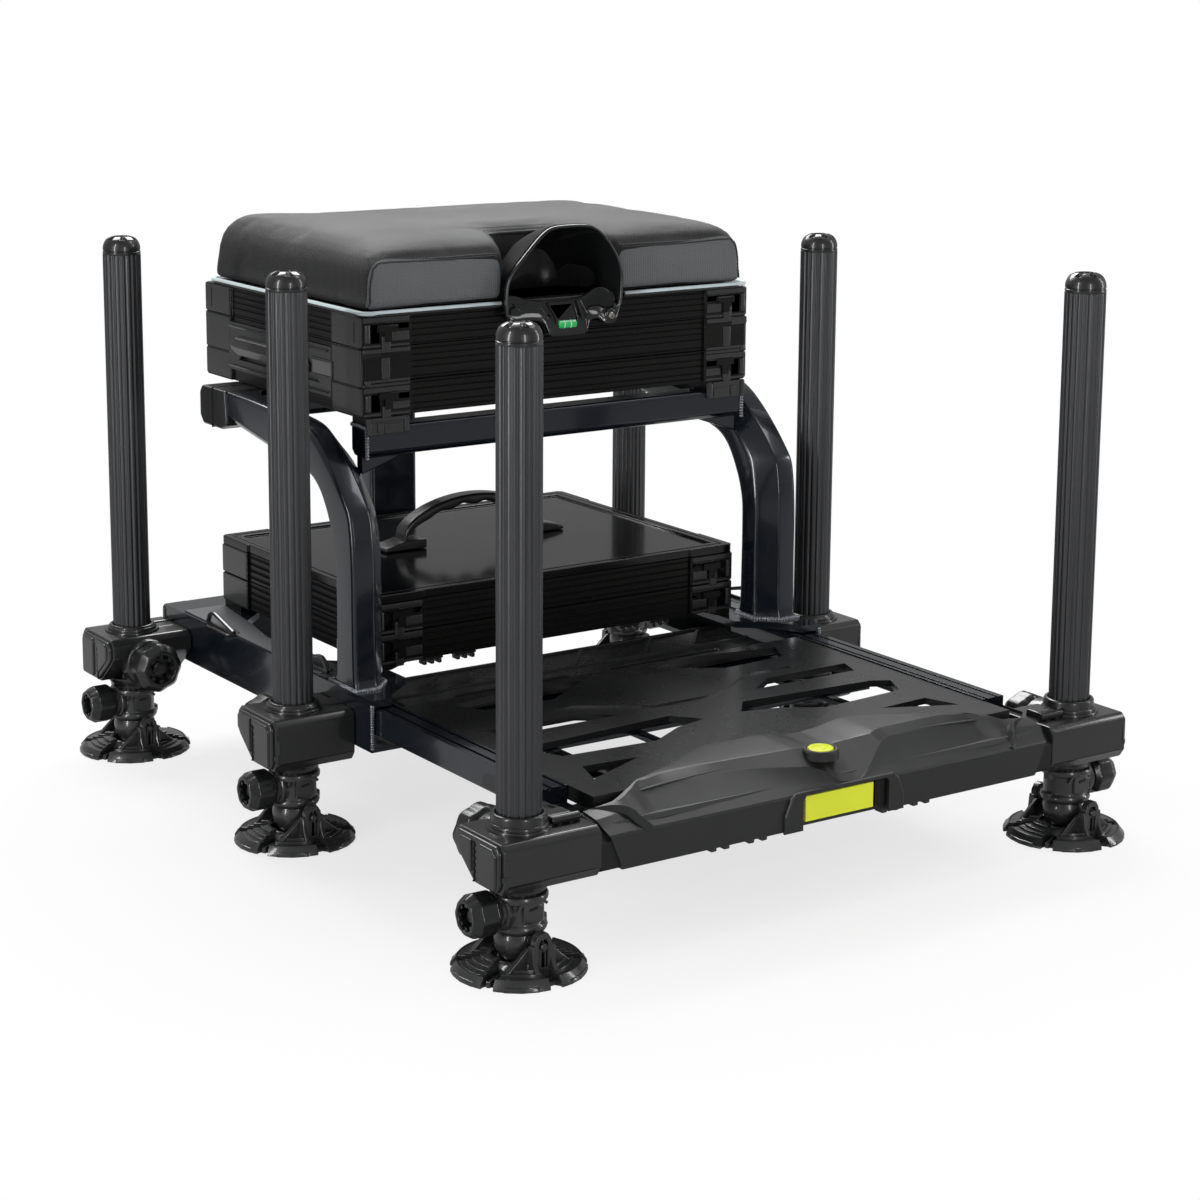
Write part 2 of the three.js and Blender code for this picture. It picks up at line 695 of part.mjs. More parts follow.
addPiece("seat_arch_right", seatArch(1), "blueBlack");

const railSpan = archOuterX - archWidth - gap;
const crossRailLow = crossRailTop - crossRailHeight;

// A cross rail with broken edges, running between the two arches.
function crossRail(frontY) {
  const c = crossRailChamfer;
  const rearY = frontY + crossRailDepth;
  return prism("x", [[frontY, crossRailLow + c], [frontY + c, crossRailLow], [rearY - c, crossRailLow],
    [rearY, crossRailLow + c], [rearY, crossRailTop - c / 2], [rearY - c / 2, crossRailTop],
    [frontY + c / 2, crossRailTop], [frontY, crossRailTop - c / 2]], -railSpan, railSpan);
}

function frontCrossRail() {
  const middleY = crossRailFrontY + crossRailDepth / 2;
  const gussetEnd = railSpan - gussetReach;
  const gussets = [-1, 1].map((side) => prism("y", [[side * railSpan, crossRailLow + overrun],
    [side * gussetEnd, crossRailLow + overrun], [side * gussetEnd, crossRailLow],
    [side * railSpan, crossRailLow - gussetDrop]],
  middleY - gussetThickness / 2, middleY + gussetThickness / 2));
  return join(crossRail(crossRailFrontY), ...gussets);
}
addPiece("front_cross_rail", frontCrossRail(), "blueBlack");

// The rear cross rail with the column that carries it from the base.
function rearColumn() {
  const columnRearY = rearRailFrontY + columnDepth;
  const column = prism("z", roundedRectangle(-columnHalfWidth, columnHalfWidth, rearRailFrontY, columnRearY,
    crossRailChamfer), baseTop + gap, crossRailTop);
  const armFrontY = rearCrossRailY + crossRailDepth / 2;
  const arm = block([-columnArmHalfWidth, armFrontY, crossRailLow + crossRailChamfer],
    [columnArmHalfWidth, rearRailFrontY + columnDepth / 2, crossRailTop - crossRailChamfer]);
  return join(crossRail(rearCrossRailY), column, arm);
}
addPiece("rear_column", rearColumn(), "blueBlack");

// The outline of a box whose four corner castings stand proud of its side panels.
function boxOutline(halfWidth, frontY, rearY, inset) {
  const w = halfWidth - inset;
  const proud = Math.max(cornerProud - inset, 0);
  const corner = (sx, sy, y) => {
    const edgeX = sx * (w + proud);
    const edgeY = y + sy * (proud - inset);
    const innerX = sx * (halfWidth - cornerWidthX);
    const points = [[innerX, y - sy * inset], [innerX, edgeY],
      [edgeX - sx * cornerRound, edgeY], [edgeX, edgeY - sy * cornerRound],
      [edgeX, y - sy * cornerWidthY], [sx * w, y - sy * cornerWidthY]];
    return sx * sy < 0 ? points : points.reverse();
  };
  return [...corner(-1, 1, rearY), ...corner(-1, -1, frontY),
    ...corner(1, -1, frontY), ...corner(1, 1, rearY)];
}

// A wall of stacked extruded strips with a groove between each pair.
function stackedBox(halfWidth, frontY, rearY, low, high, seams) {
  const ring = (z, inset) => boxOutline(halfWidth, frontY, rearY, inset)
    .map(([x, y]) => new THREE.Vector3(x, y, z));
  const half = stripGrooveHeight / 2;
  const levels = [[low, 0]];
  for (const z of seams) levels.push([z - half, 0], [z, stripGroove], [z + half, 0]);
  levels.push([high, 0]);
  return loft(levels.map(([z, inset]) => ring(z, inset)));
}

function hollow(halfWidth, frontY, rearY, wall, low, high) {
  return block([-halfWidth + wall, frontY + wall, low], [halfWidth - wall, rearY - wall, high]);
}

// T-shaped catches on the front and rear faces of the corner castings.
function cornerCatches(halfWidth, frontY, rearY, z) {
  const x = halfWidth - cornerWidthX / 2;
  return [-1, 1].flatMap((side) => [[frontY, -1], [rearY, 1]].map(([y, way]) => {
    const face = y + way * cornerProud;
    const [w, stem, high] = [catchWidth / 2, catchStemWidth / 2, z + catchHeight - catchStemHeight];
    const tee = [[-w, z], [-stem, z], [-stem, z - catchStemHeight], [stem, z - catchStemHeight], [stem, z],
      [w, z], [w, high], [-w, high]].map(([across, up]) => [side * x + across, up]);
    return prism("y", tee, face - way * gap, face + way * catchReach);
  }));
}

function drawerCase() {
  const high = boxSplit - gap;
  const seam = (boxBottom + boxSplit) / 2;
  const shell = stackedBox(boxHalfWidth, boxFrontY, boxRearY, boxBottom, high, [seam]);
  const clips = [-1, 1].flatMap((side) => [boxFrontY, rearCrossRailY].map((y) =>
    block([side * (clipOuterX - clipWidth), y, boxBottom - clipHeight],
      [side * clipOuterX, y + clipDepth, boxBottom + gap])));
  const bay = block([-boxHalfWidth - cornerProud - overrun, drawerFrontY - gap, drawerLow - gap],
    [drawerInnerX + gap, drawerRearY + gap, drawerHigh + gap]);
  const catches = cornerCatches(boxHalfWidth, boxFrontY, boxRearY, (boxBottom + seam) / 2);
  return cut(join(shell, ...clips, ...catches), bay);
}
addPiece("drawer_case", drawerCase(), "extrusion");

function drawer() {
  const faceX = -boxHalfWidth - cornerProud;
  const body = block([faceX, drawerFrontY, drawerLow], [drawerInnerX, drawerRearY, drawerHigh]);
  const inside = block([faceX + drawerFaceThickness, drawerFrontY + drawerWall, drawerLow + drawerWall],
    [drawerInnerX - drawerWall, drawerRearY - drawerWall, drawerHigh + overrun]);
  const y0 = drawerFrontY + drawerGripInset;
  const y1 = drawerRearY - drawerGripInset;
  const slope = drawerGripHigh - drawerGripLow;
  const grip = prism("x", [[y0, drawerGripLow], [y1, drawerGripLow], [y1 - slope, drawerGripHigh],
    [y0 + slope, drawerGripHigh]], faceX - overrun, faceX + drawerGripDepth);
  return cut(body, inside, grip);
}
addPiece("drawer", drawer(), "extrusion");

function topTray() {
  const low = boxSplit;
  const shell = stackedBox(boxHalfWidth, boxFrontY, boxRearY, low, boxTop, []);
  const catches = cornerCatches(boxHalfWidth, boxFrontY, boxRearY, (low + boxTop) / 2);
  return cut(join(shell, ...catches),
    hollow(boxHalfWidth, boxFrontY, boxRearY, boxWall, low + boxFloor, boxTop + overrun));
}
addPiece("top_tray", topTray(), "extrusion");

function cushionBase() {
  const outline = roundedRectangle(-seatHalfWidth, seatHalfWidth, seatFrontY, seatRearY,
    seatCorner, seatCornerSteps);
  const board = prism("z", outline, seatBaseBottom, seatBaseTop);
  const lipRoom = block([-socketHalfWidth - gap, seatFrontY - overrun, seatBaseBottom - overrun],
    [socketHalfWidth + gap, socketFrontY + socketLipDepth + gap, seatBaseTop + overrun]);
  return cut(board, lipRoom);
}
addPiece("cushion_base", cushionBase(), "moulding");

// The cushion: sides drawn in a little, a rolled top edge and a crown, with a notch cut in its front.
function cushion() {
  const base = seatBaseTop + gap;
  const levels = [[base, 0], [(base * 2 + cushionTop) / 3, cushionDraw / 3],
    [cushionTop - cushionRoll, cushionDraw]];
  for (let i = 1; i <= cushionSteps; i++) {
    const angle = (i / cushionSteps) * (Math.PI / 2);
    levels.push([cushionTop - cushionRoll + cushionRoll * Math.sin(angle),
      cushionDraw + cushionRoll * (1 - Math.cos(angle))]);
  }
  for (let i = 1; i <= cushionSteps; i++) {
    const share = i / cushionSteps;
    levels.push([cushionTop + cushionCrown * Math.sin((share * Math.PI) / 2),
      cushionDraw + cushionRoll + cushionCrownReach * share]);
  }
  const body = loft(levels.map(([z, inset]) => roundedRectangle(-seatHalfWidth + inset, seatHalfWidth - inset,
    seatFrontY + inset, seatRearY - inset, seatCorner, seatCornerSteps)
    .map(([x, y]) => new THREE.Vector3(x, y, z))));
  const notch = [[base - overrun, 0], [cushionTop - cushionRoll, 0],
    [cushionTop + cushionCrown + overrun, cushionRoll]].map(([z, grow]) => {
    const half = notchHalfWidth + grow;
    return roundedRectangle(-half, half, seatFrontY - overrun - notchLip, seatFrontY + notchDepth + grow,
      notchLip, seatCornerSteps).map(([x, y]) => new THREE.Vector3(x, y, z));
  });
  return cut(body, loft(notch));
}
addPiece("seat_cushion", cushion(), "weave");

// The pole socket: a moulded hood, open to the front, with a lip that hangs over the box.
function hoodRing(y, halfWidth, top, inset) {
  const w = halfWidth - inset;
  const low = socketBottom + inset;
  const shoulder = (socketBottom + top) / 2;
  const ring = [[w, low]];
  for (let i = 0; i <= socketSteps; i++) {
    const angle = (i / socketSteps) * Math.PI;
    ring.push([w * Math.cos(angle), shoulder + (top - inset - shoulder) * Math.sin(angle)]);
  }
  ring.push([-w, low]);
  return ring.map(([x, z]) => new THREE.Vector3(x, y, z));
}

function lipOutline(inset) {
  const top = socketBottom + socketWall + inset;
  const [w, corner, chin] = [socketHalfWidth, socketLipHalfWidth, socketChinHalfWidth].map((x) => x - inset);
  return [[-w, top], [-corner, socketLipCorner + inset / 2], [-chin, socketLipBottom + inset],
    [chin, socketLipBottom + inset], [corner, socketLipCorner + inset / 2], [w, top]];
}

function poleSocket() {
  const outer = loft([hoodRing(socketFrontY, socketHalfWidth, socketTop, 0),
    hoodRing(socketRearY, socketBackHalfWidth, socketBackTop, 0)]);
  const inner = loft([hoodRing(socketFrontY - overrun, socketHalfWidth, socketTop, socketWall),
    hoodRing(socketRearY - socketWall, socketBackHalfWidth, socketBackTop, socketWall)]);
  const lip = prism("y", lipOutline(0), socketFrontY, socketFrontY + socketLipDepth);
  const well = prism("y", lipOutline(socketWall), socketFrontY - overrun,
    socketFrontY + socketLipDepth - socketLipBack);
  return cut(join(outer, lip), inner, well);
}
addPiece("pole_socket", poleSocket(), "moulding");

// The carry case: a body of stacked strips on four tapered corner feet.
function caseBody() {
  const shell = stackedBox(caseHalfWidth, caseFrontY, caseRearY, caseBottom, caseSplit - gap,
    [(caseBottom + caseSplit) / 2]);
  const foot = baseTop + gap;
  const root = caseBottom + gap;
  const feet = [-1, 1].flatMap((side) => [[caseFrontY, 1], [caseRearY, -1]].map(([y, way]) =>
    prism("y", [[side * caseHalfWidth, root], [side * (caseHalfWidth - caseFootLength), root],
      [side * (caseHalfWidth - caseFootTaper), foot], [side * caseHalfWidth, foot]],
    y, y + way * caseFootLength)));
  const middle = (caseBottom + caseSplit) / 2;
  const catches = [(caseBottom + middle) / 2, (middle + caseSplit) / 2]
    .flatMap((z) => cornerCatches(caseHalfWidth, caseFrontY, caseRearY, z));
  return cut(join(shell, ...feet, ...catches),
    hollow(caseHalfWidth, caseFrontY, caseRearY, caseWall, caseBottom + caseFloor, caseSplit + overrun));
}
addPiece("case_body", caseBody(), "extrusion");

function caseLid() {
  const rim = stackedBox(caseHalfWidth, caseFrontY, caseRearY, caseSplit, caseTop, []);
  const panel = hollow(caseHalfWidth, caseFrontY, caseRearY, lidRim, caseTop - lidRecess, caseTop + overrun);
  return cut(rim, panel);
}
addPiece("case_lid", caseLid(), "lidPanel");

// A bridge handle with two wedge feet and finger grips under the bow.
function carryHandle() {
  const base = caseTop - lidRecess + gap;
  const footTop = base + handleFootHeight;
  const footMiddle = base + handleFootHeight / 2;
  const [near, far] = [handleHalfSpan - handleFootLength / 2, handleHalfSpan + handleFootLength / 2];
  const feet = [-1, 1].map((side) => prism("y", [[side * near, base], [side * far, base],
    [side * far, footMiddle], [side * handleHalfSpan, footTop], [side * near, footTop]],
  handleY - handleFootWidth / 2, handleY + handleFootWidth / 2));
  const steps = handleFingers * 4;
  const rings = Array.from({ length: steps + 1 }, (_, i) => {
    const share = i / steps;
    const x = handleHalfSpan * (2 * share - 1);
    const bow = Math.sin(share * Math.PI);
    const rise = handleRise * Math.sqrt(bow);
    const finger = handleFingerDepth * bow * Math.sin(share * handleFingers * Math.PI) ** 2;
    const topZ = base + handleFootHeight / 4 + rise + handleGripHeight;
    const lowZ = topZ - handleGripHeight + finger;
    return roundedRectangle(-handleGripWidth / 2, handleGripWidth / 2, lowZ, topZ, handleGripHeight / 4, 1)
      .map(([y, z]) => new THREE.Vector3(x, handleY + y, z));
  });
  return join(loft(rings), ...feet);
}
addPiece("carry_handle", carryHandle(), "moulding");

// Footplate frame: two grooved rails, the front beam and the rear stretcher.
function footplateRail(side) {
  const inner = railOuterX - railWidth;
  const g = railGrooveInset;
  const outline = [[inner, railLow], [railOuterX, railLow], [railOuterX, railTop],
    [railOuterX - g, railTop], [railOuterX - g, railTop - railGroove],
    [railOuterX - g - railGrooveWidth, railTop - railGroove], [railOuterX - g - railGrooveWidth, railTop],
    [inner + g, railTop], [inner + g, railTop - railGroove],
    [inner + g - railGrooveWidth, railTop - railGroove], [inner + g - railGrooveWidth, railTop],
    [inner, railTop]].map(([x, z]) => [side * x, z]);
  const root = block([side * inner, beamRearY - overrun, railLow],
    [side * (beamHalfLength - gap), railFrontY + overrun, beamHigh]);
  return join(prism("y", outline, railFrontY, railRearY), root);
}

function footplateFrame() {
  const c = housingLowChamfer;
  const beam = prism("x", [[beamFrontY, beamLow + c], [beamFrontY + c, beamLow], [beamRearY - c, beamLow],
    [beamRearY, beamLow + c], [beamRearY, beamHigh], [beamFrontY + beamTopSlopeY, beamHigh],
    [beamFrontY, beamHigh - beamTopSlopeZ]], -beamHalfLength, beamHalfLength);
  const inner = railOuterX - railWidth + overrun;
  const stretcher = block([-inner, stretcherY, railLow],
    [inner, stretcherY + stretcherDepth, railLow + stretcherHeight]);
  return join(footplateRail(-1), footplateRail(1), beam, stretcher);
}
addPiece("footplate_frame", footplateFrame(), "blueBlack");

// The moulded deck: slanted slots, a raised panel and a skirt round the edge, the same to the left and right.
function footplateDeck() {
  const half = railOuterX - railWidth - deckEdgeGap;
  const low = deckTop - deckRib;
  const outline = [[-half, deckFrontY], [half, deckFrontY], [half, deckRearY], [-half, deckRearY]];
  const at = ([across, forward]) => [half * across, deckRearY - (deckRearY - deckFrontY) * forward];
  const slots = deckSlotShares.map((slot) => slot.map(at)).flatMap((slot) => [1, -1].map((side) =>
    prism("z", slot.map(([x, y]) => [side * x, y]), low - overrun, deckTop + overrun)));
  const room = block([-half + deckRibWidth, deckFrontY + deckRibWidth, low - overrun],
    [half - deckRibWidth, deckRearY - deckRibWidth, deckTop - deckThickness]);
  const plate = cut(prism("z", outline, low, deckTop), room, ...slots);
  const spine = block([-deckRibWidth / 2, deckFrontY, low], [deckRibWidth / 2, deckRearY, deckTop - gap]);
  const edge = deckPanelShares.map(at);
  const mirrored = edge.map(([x, y]) => [-x, y]).reverse();
  const panel = prism("z", [...edge, ...mirrored], deckTop - gap, deckTop + deckPanelRise);
  return join(plate, spine, panel);
}
addPiece("footplate_deck", footplateDeck(), "deckPlastic");

// One section of the cover, from its front face over the shoulder to its rear edge.
function coverRing([x, shoulderY, shoulderZ, top, rearY]) {
  return [[coverFrontY, coverLow], [coverFrontY, coverBrow], [shoulderY, shoulderZ],
    [shoulderY + coverTopSlope, top], [rearY - coverRearDrop, top], [rearY, top - coverRearDrop],
    [rearY, coverLow]].map(([y, z]) => new THREE.Vector3(x, y, z));
}

// The moulded cover over the beam: full over the middle, scooped further out, notched at the level.
function beamCover() {
  const left = coverStations.slice(1).reverse().map(([x, ...rest]) => [-x, ...rest]);
  const skin = loft([...left, ...coverStations].map(coverRing));
  const far = coverHalfLength + overrun;
  const beamRoom = prism("x", [[beamFrontY - gap, coverLow - overrun], [deckRearY, coverLow - overrun],
    [deckRearY, beamHigh + gap], [beamFrontY + beamTopSlopeY - gap, beamHigh + gap],
    [beamFrontY - gap, beamHigh - beamTopSlopeZ]], -far, far);
  const deckRoom = block([-far, deckFrontY - gap, coverLow - overrun], [far, deckRearY, coverUnderside]);
  const well = block([-pullHalfWidth - pullWellMargin, coverFrontY - overrun, pullLow - pullWellMargin],
    [pullHalfWidth + pullWellEnd, beamFrontY, pullHigh + pullWellMargin]);
  return cut(skin, beamRoom, deckRoom, well);
}
addPiece("beam_cover", beamCover(), "deckPlastic");

// The pull that frees the sliding footplate, set back in a well in the cover.
function releasePull() {
  const face = coverFrontY + pullSetBack;
  const back = beamFrontY - gap;
  const plate = block([-pullHalfWidth, face, pullLow], [pullHalfWidth, face + pullThickness, pullHigh]);
  const lip = block([-pullHalfWidth, face, pullLow], [pullHalfWidth, back, pullLow + pullLipHeight]);
  return join(plate, lip);
}
addPiece("release_pull", releasePull(), "lime");

export default assembly;
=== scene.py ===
import math

import bmesh
import bpy
from mathutils import Matrix, Vector
from mathutils.bvhtree import BVHTree


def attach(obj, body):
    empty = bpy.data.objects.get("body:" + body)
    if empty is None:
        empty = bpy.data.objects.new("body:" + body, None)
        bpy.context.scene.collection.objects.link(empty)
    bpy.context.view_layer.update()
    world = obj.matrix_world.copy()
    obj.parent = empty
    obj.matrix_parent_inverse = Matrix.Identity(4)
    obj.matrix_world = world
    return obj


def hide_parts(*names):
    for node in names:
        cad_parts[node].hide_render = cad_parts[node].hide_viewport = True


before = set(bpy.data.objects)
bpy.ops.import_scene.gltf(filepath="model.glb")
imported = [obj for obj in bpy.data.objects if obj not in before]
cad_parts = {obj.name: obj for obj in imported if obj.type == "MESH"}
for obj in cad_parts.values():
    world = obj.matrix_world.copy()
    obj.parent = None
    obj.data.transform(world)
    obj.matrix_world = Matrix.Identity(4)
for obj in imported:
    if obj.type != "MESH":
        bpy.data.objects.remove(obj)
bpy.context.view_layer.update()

# Forms are worked out in millimetres, in the frame of the CAD model, and scaled as they become meshes.
MM = 0.001
FULL = 2 * math.pi


def added(name, data):
    """A new object, linked to the scene."""
    made = bpy.data.objects.new(name, data)
    bpy.context.scene.collection.objects.link(made)
    return made


def evaluated(holder):
    """What an object's curve or modifiers make, as a plain mesh."""
    return bpy.data.meshes.new_from_object(holder.evaluated_get(bpy.context.evaluated_depsgraph_get()))


# Node graphs

class Value:
    """One output of a node graph. The usual operators on it add Math nodes."""

    def __init__(self, graph, socket):
        self.graph = graph
        self.socket = socket

    def math(self, operation, *others, first=None):
        operands = ([first, self] if first is not None else [self]) + list(others)
        return self.graph.node("ShaderNodeMath", {"operation": operation}, dict(enumerate(operands)))

    def output(self, name):
        return Value(self.graph, self.socket.node.outputs[name])

    def __add__(self, other):
        return self.math("ADD", other)

    def __radd__(self, other):
        return self.math("ADD", first=other)

    def __sub__(self, other):
        return self.math("SUBTRACT", other)

    def __rsub__(self, other):
        return self.math("SUBTRACT", first=other)

    def __mul__(self, other):
        return self.math("MULTIPLY", other)

    def __rmul__(self, other):
        return self.math("MULTIPLY", first=other)

    def __truediv__(self, other):
        return self.math("DIVIDE", other)

    def __rtruediv__(self, other):
        return self.math("DIVIDE", first=other)

    def __gt__(self, other):
        return self.math("GREATER_THAN", other)

    def __lt__(self, other):
        return self.math("LESS_THAN", other)

    def sine(self):
        return self.math("SINE")

    def size(self):
        return self.math("ABSOLUTE")


class Graph:
    """A node tree with one method that adds any node."""

    def __init__(self, tree):
        self.tree = tree

    def node(self, kind, settings=None, sockets=None, output=0):
        made = self.tree.nodes.new(kind)
        for key, value in (settings or {}).items():
            if key == "stops":
                ramp = made.color_ramp
                while len(ramp.elements) < len(value):
                    ramp.elements.new(0.5)
                for element, (place, shade) in zip(ramp.elements, value):
                    element.position = place
                    element.color = (shade, shade, shade, 1)
            else:
                setattr(made, key, value)
        for key, value in (sockets or {}).items():
            if isinstance(value, Value):
                self.tree.links.new(value.socket, made.inputs[key])
            else:
                made.inputs[key].default_value = value
        return Value(self, made.outputs[output]) if len(made.outputs) else made


class Finish(Graph):
    """A material: constants go on the shader's own sockets, patterns are linked to it."""

    def __init__(self, name, slot, colour, roughness, metallic=0.0, **constants):
        self.slot = slot
        self.material = bpy.data.materials.new(name)
        self.material.use_nodes = True
        super().__init__(self.material.node_tree)
        self.tree.nodes.clear()
        self.colour = (*colour, 1)
        start = {"Base Color": self.colour, "Roughness": roughness, "Metallic": metallic}
        start.update({key.replace("_", " "): value for key, value in constants.items()})
        self.shader = self.node("ShaderNodeBsdfPrincipled", sockets=start)
        self.node("ShaderNodeOutputMaterial", sockets={"Surface": self.shader})
        self.place = self.node("ShaderNodeTexCoord", output="Object")

    def feed(self, socket, value):
        self.tree.links.new(value.socket, self.shader.socket.node.inputs[socket])
        return self

    def stretched(self, x, y, z):
        return self.node("ShaderNodeMapping", sockets={"Vector": self.place, "Scale": (x, y, z)})

    def along(self, axis):
        return self.node("ShaderNodeSeparateXYZ", sockets={"Vector": self.place}, output=axis)

    def noise(self, scale, detail=2.0, at=None):
        return self.node("ShaderNodeTexNoise",
                         sockets={"Vector": at or self.place, "Scale": scale, "Detail": detail})

    def cells(self, scale, at=None):
        return self.node("ShaderNodeTexVoronoi", sockets={"Vector": at or self.place, "Scale": scale})

    def ramp(self, value, low, high, start=0.0, end=1.0):
        return self.node("ShaderNodeMapRange", {"interpolation_type": "SMOOTHSTEP"},
                         {"Value": value, "From Min": low, "From Max": high, "To Min": start, "To Max": end})

    def mixed(self, share, one, two):
        return self.node("ShaderNodeMix", {"data_type": "RGBA"}, {0: share, 6: one, 7: two}, output=2)

    def relief(self, height, distance, strength=1.0):
        return self.feed("Normal", self.node("ShaderNodeBump", sockets={
            "Height": height, "Distance": distance, "Strength": strength}))

    def shaded(self, share, lighter):
        """The base colour drifts towards a lighter or darker one where share is high."""
        tone = tuple(c * lighter for c in self.colour[:3]) + (1,)
        return self.feed("Base Color", self.mixed(share, self.colour, tone))


def grained(name, slot, colour, roughness, grain=0.00005, cell=1500, drift=0.1, coat=(0.0, 0.03), **constants):
    """Moulded plastic: fine grain, a slow drift of tone and sheen, and a few faint rubs."""
    made = Finish(name, slot, colour, roughness, Coat_Weight=coat[0], Coat_Roughness=coat[1], **constants)
    slow = made.noise(14, 3)
    rubs = made.ramp(made.noise(1, 4, made.stretched(160, 160, 900)), 0.62, 0.8)
    made.shaded(slow * 0.7 + rubs * 0.5, 1.45)
    made.feed("Roughness", slow * drift + (roughness - drift / 2) - rubs * 0.06)
    return made.relief(made.noise(cell, 1.5), grain)


def painted(name, slot, colour, roughness):
    """Gloss paint over metal: a blue-black flake under a clear coat with a slight ripple."""
    made = Finish(name, slot, colour, roughness, metallic=0.35, Coat_Weight=0.8, Coat_Roughness=0.08,
                  Coat_IOR=1.5)
    flake = made.cells(2600)
    slow = made.noise(9, 3)
    made.shaded(made.ramp(flake, 0.1, 0.5) * 0.5 + slow * 0.5, 1.8)
    made.feed("Roughness", slow * 0.14 + (roughness - 0.06))
    return made.relief(made.noise(260, 2), 0.00006, 0.6)


def brushed(name, slot, colour, roughness, lines, metallic=0.85):
    """Anodised aluminium, with the faint drawn lines of its extrusion."""
    made = Finish(name, slot, colour, roughness, metallic=metallic)
    drawn = made.noise(1, 3, made.stretched(*lines))
    slow = made.noise(7, 2)
    made.shaded(drawn * 0.8 + slow * 0.3, 1.5)
    made.feed("Roughness", drawn * 0.16 + slow * 0.08 + (roughness - 0.12))
    return made.relief(drawn, 0.00004)


def woven(name, slot, colour, pitch, contrast, sheen):
    """Cloth whose threads run along the surface on every side of the cushion."""
    made = Finish(name, slot, colour, 0.8, Sheen_Weight=sheen, Sheen_Roughness=0.32,
                  Specular_IOR_Level=0.5)
    x, y, z = made.along("X"), made.along("Y"), made.along("Z")
    warp = ((x + z) * (FULL / pitch)).sine()
    weft = ((y + z) * (FULL / pitch)).sine()
    height = warp * weft
    slub = made.noise(420, 2)
    wear = made.noise(11, 4)
    made.shaded(height * contrast + slub * 0.5 + wear * 0.4, 1.9)
    made.feed("Roughness", wear * 0.24 + 0.5)
    return made.relief(height * 0.6 + slub, 0.00035)


# The grey panels of the seat, in metres: their top, outer and inner edge, the radius of their
# corner, how far back the front face reaches, and the pitch of their weave.
PANEL_TOP, PANEL_SIDE, PANEL_INNER, PANEL_CORNER = 0.5105, 0.2085, 0.059, 0.017
PANEL_FRONT, PANEL_PITCH = 0.036, 0.0024


def two_tone(name, grey):
    """The black cloth of the seat with grey panels let into its front."""
    made = woven(name, "seat_cover", (0.0045, 0.0045, 0.005), 0.0021, 0.5, 0.16)
    x, y, z = made.along("X").size(), made.along("Y"), made.along("Z")
    dx = (x - (PANEL_SIDE - PANEL_CORNER)).math("MAXIMUM", 0.0)
    dz = (z - (PANEL_TOP - PANEL_CORNER)).math("MAXIMUM", 0.0)
    inside = (dx * dx + dz * dz < PANEL_CORNER * PANEL_CORNER) * (x > PANEL_INNER) * (y < PANEL_FRONT)
    turns = FULL / PANEL_PITCH
    thread_light = ((x + z) * turns).sine() * ((x - z) * turns).sine() * 0.5 + 0.5
    cloth = made.mixed(thread_light, (*grey, 1), (*[c * 1.9 for c in grey], 1))
    black = Value(made, made.shader.socket.node.inputs["Base Color"].links[0].from_socket)
    return made.feed("Base Color", made.mixed(inside, black, cloth))


anodised = brushed("tube_anodised", "anodised_tube", (0.072, 0.073, 0.076), 0.34, (900, 900, 6))
frame_paint = painted("frame_gloss_paint", "frame_paint", (0.0055, 0.0085, 0.0135), 0.22)
moulding = grained("moulded_black", "moulding", (0.009, 0.0094, 0.0098), 0.36, coat=(0.7, 0.1))
foot_moulding = grained("foot_black", "moulding", (0.024, 0.0245, 0.0255), 0.34, drift=0.16, coat=(0.8, 0.12))
latch_grey = grained("latch_grey", "extrusion", (0.10, 0.10, 0.10), 0.35)
# Near-black for painted shade: thin strips laid on faces where grooves, slots and pits show dark.
pit_black = grained("pit_black", "moulding", (0.003, 0.003, 0.003), 0.6)
# Near-black with little gloss: painted shade for the inside of the pole socket.
hollow_black = grained("hollow_black", "moulding", (0.0012, 0.0012, 0.0012), 0.6, Specular_IOR_Level=0.08)
knob_moulding = grained("knob_black", "moulding", (0.010, 0.0105, 0.011), 0.3, grain=0.00002, coat=(0.4, 0.16))
deck_moulding = grained("deck_black", "deck_moulding", (0.014, 0.0145, 0.015), 0.28, grain=0.00003, coat=(0.25, 0.2))
cover_moulding = grained("cover_black", "deck_moulding", (0.015, 0.0155, 0.016), 0.42, coat=(0.15, 0.25))
hood_gloss = grained("hood_gloss", "gloss_moulding", (0.009, 0.0095, 0.010), 0.2, grain=0.00001,
                     cell=500, drift=0.08, coat=(0.5, 0.08))
strip_anodised = brushed("strip_anodised", "extrusion", (0.0085, 0.0082, 0.0078), 0.3, (5, 5, 1600), 0.5)
casting = grained("casting_black", "extrusion", (0.021, 0.0215, 0.022), 0.34, drift=0.12, coat=(0.5, 0.12))
lid_panel = grained("lid_satin", "lid_panel", (0.0045, 0.0045, 0.0045), 0.13, grain=0.00001, cell=500)
seat_black = woven("seat_weave_black", "seat_cover", (0.017, 0.017, 0.018), 0.0021, 0.5, 0.25)
seat_cloth = two_tone("seat_weave_two_tone", (0.108, 0.113, 0.117))
piping_white = grained("piping_pale", "seat_cover", (0.62, 0.72, 0.74), 0.5, grain=0.0001, cell=900)
thread = grained("stitch_thread", "seat_cover", (0.16, 0.165, 0.17), 0.7)
lime = grained("lime_plastic", "lime_moulding", (0.92, 1.0, 0.03), 0.4, grain=0.00004)
vial = Finish("vial_green", "lime_moulding", (0.02, 0.55, 0.12), 0.08, Coat_Weight=1.0)
vial.shaded(vial.noise(160, 2), 1.4)
steel = brushed("screw_steel", "anodised_tube", (0.42, 0.41, 0.38), 0.3, (900, 900, 900), 0.9)
plate_satin = brushed("plate_satin", "frame_paint", (0.085, 0.088, 0.092), 0.42, (40, 900, 900), 0.7)
# Pale metal for the weld beads, much lighter than the frame paint they belong to: painted glints on real beads.
weld_glint_metal = brushed("weld_beads", "frame_paint", (0.20, 0.215, 0.235), 0.26, (300, 300, 300), 0.7)


# Forms

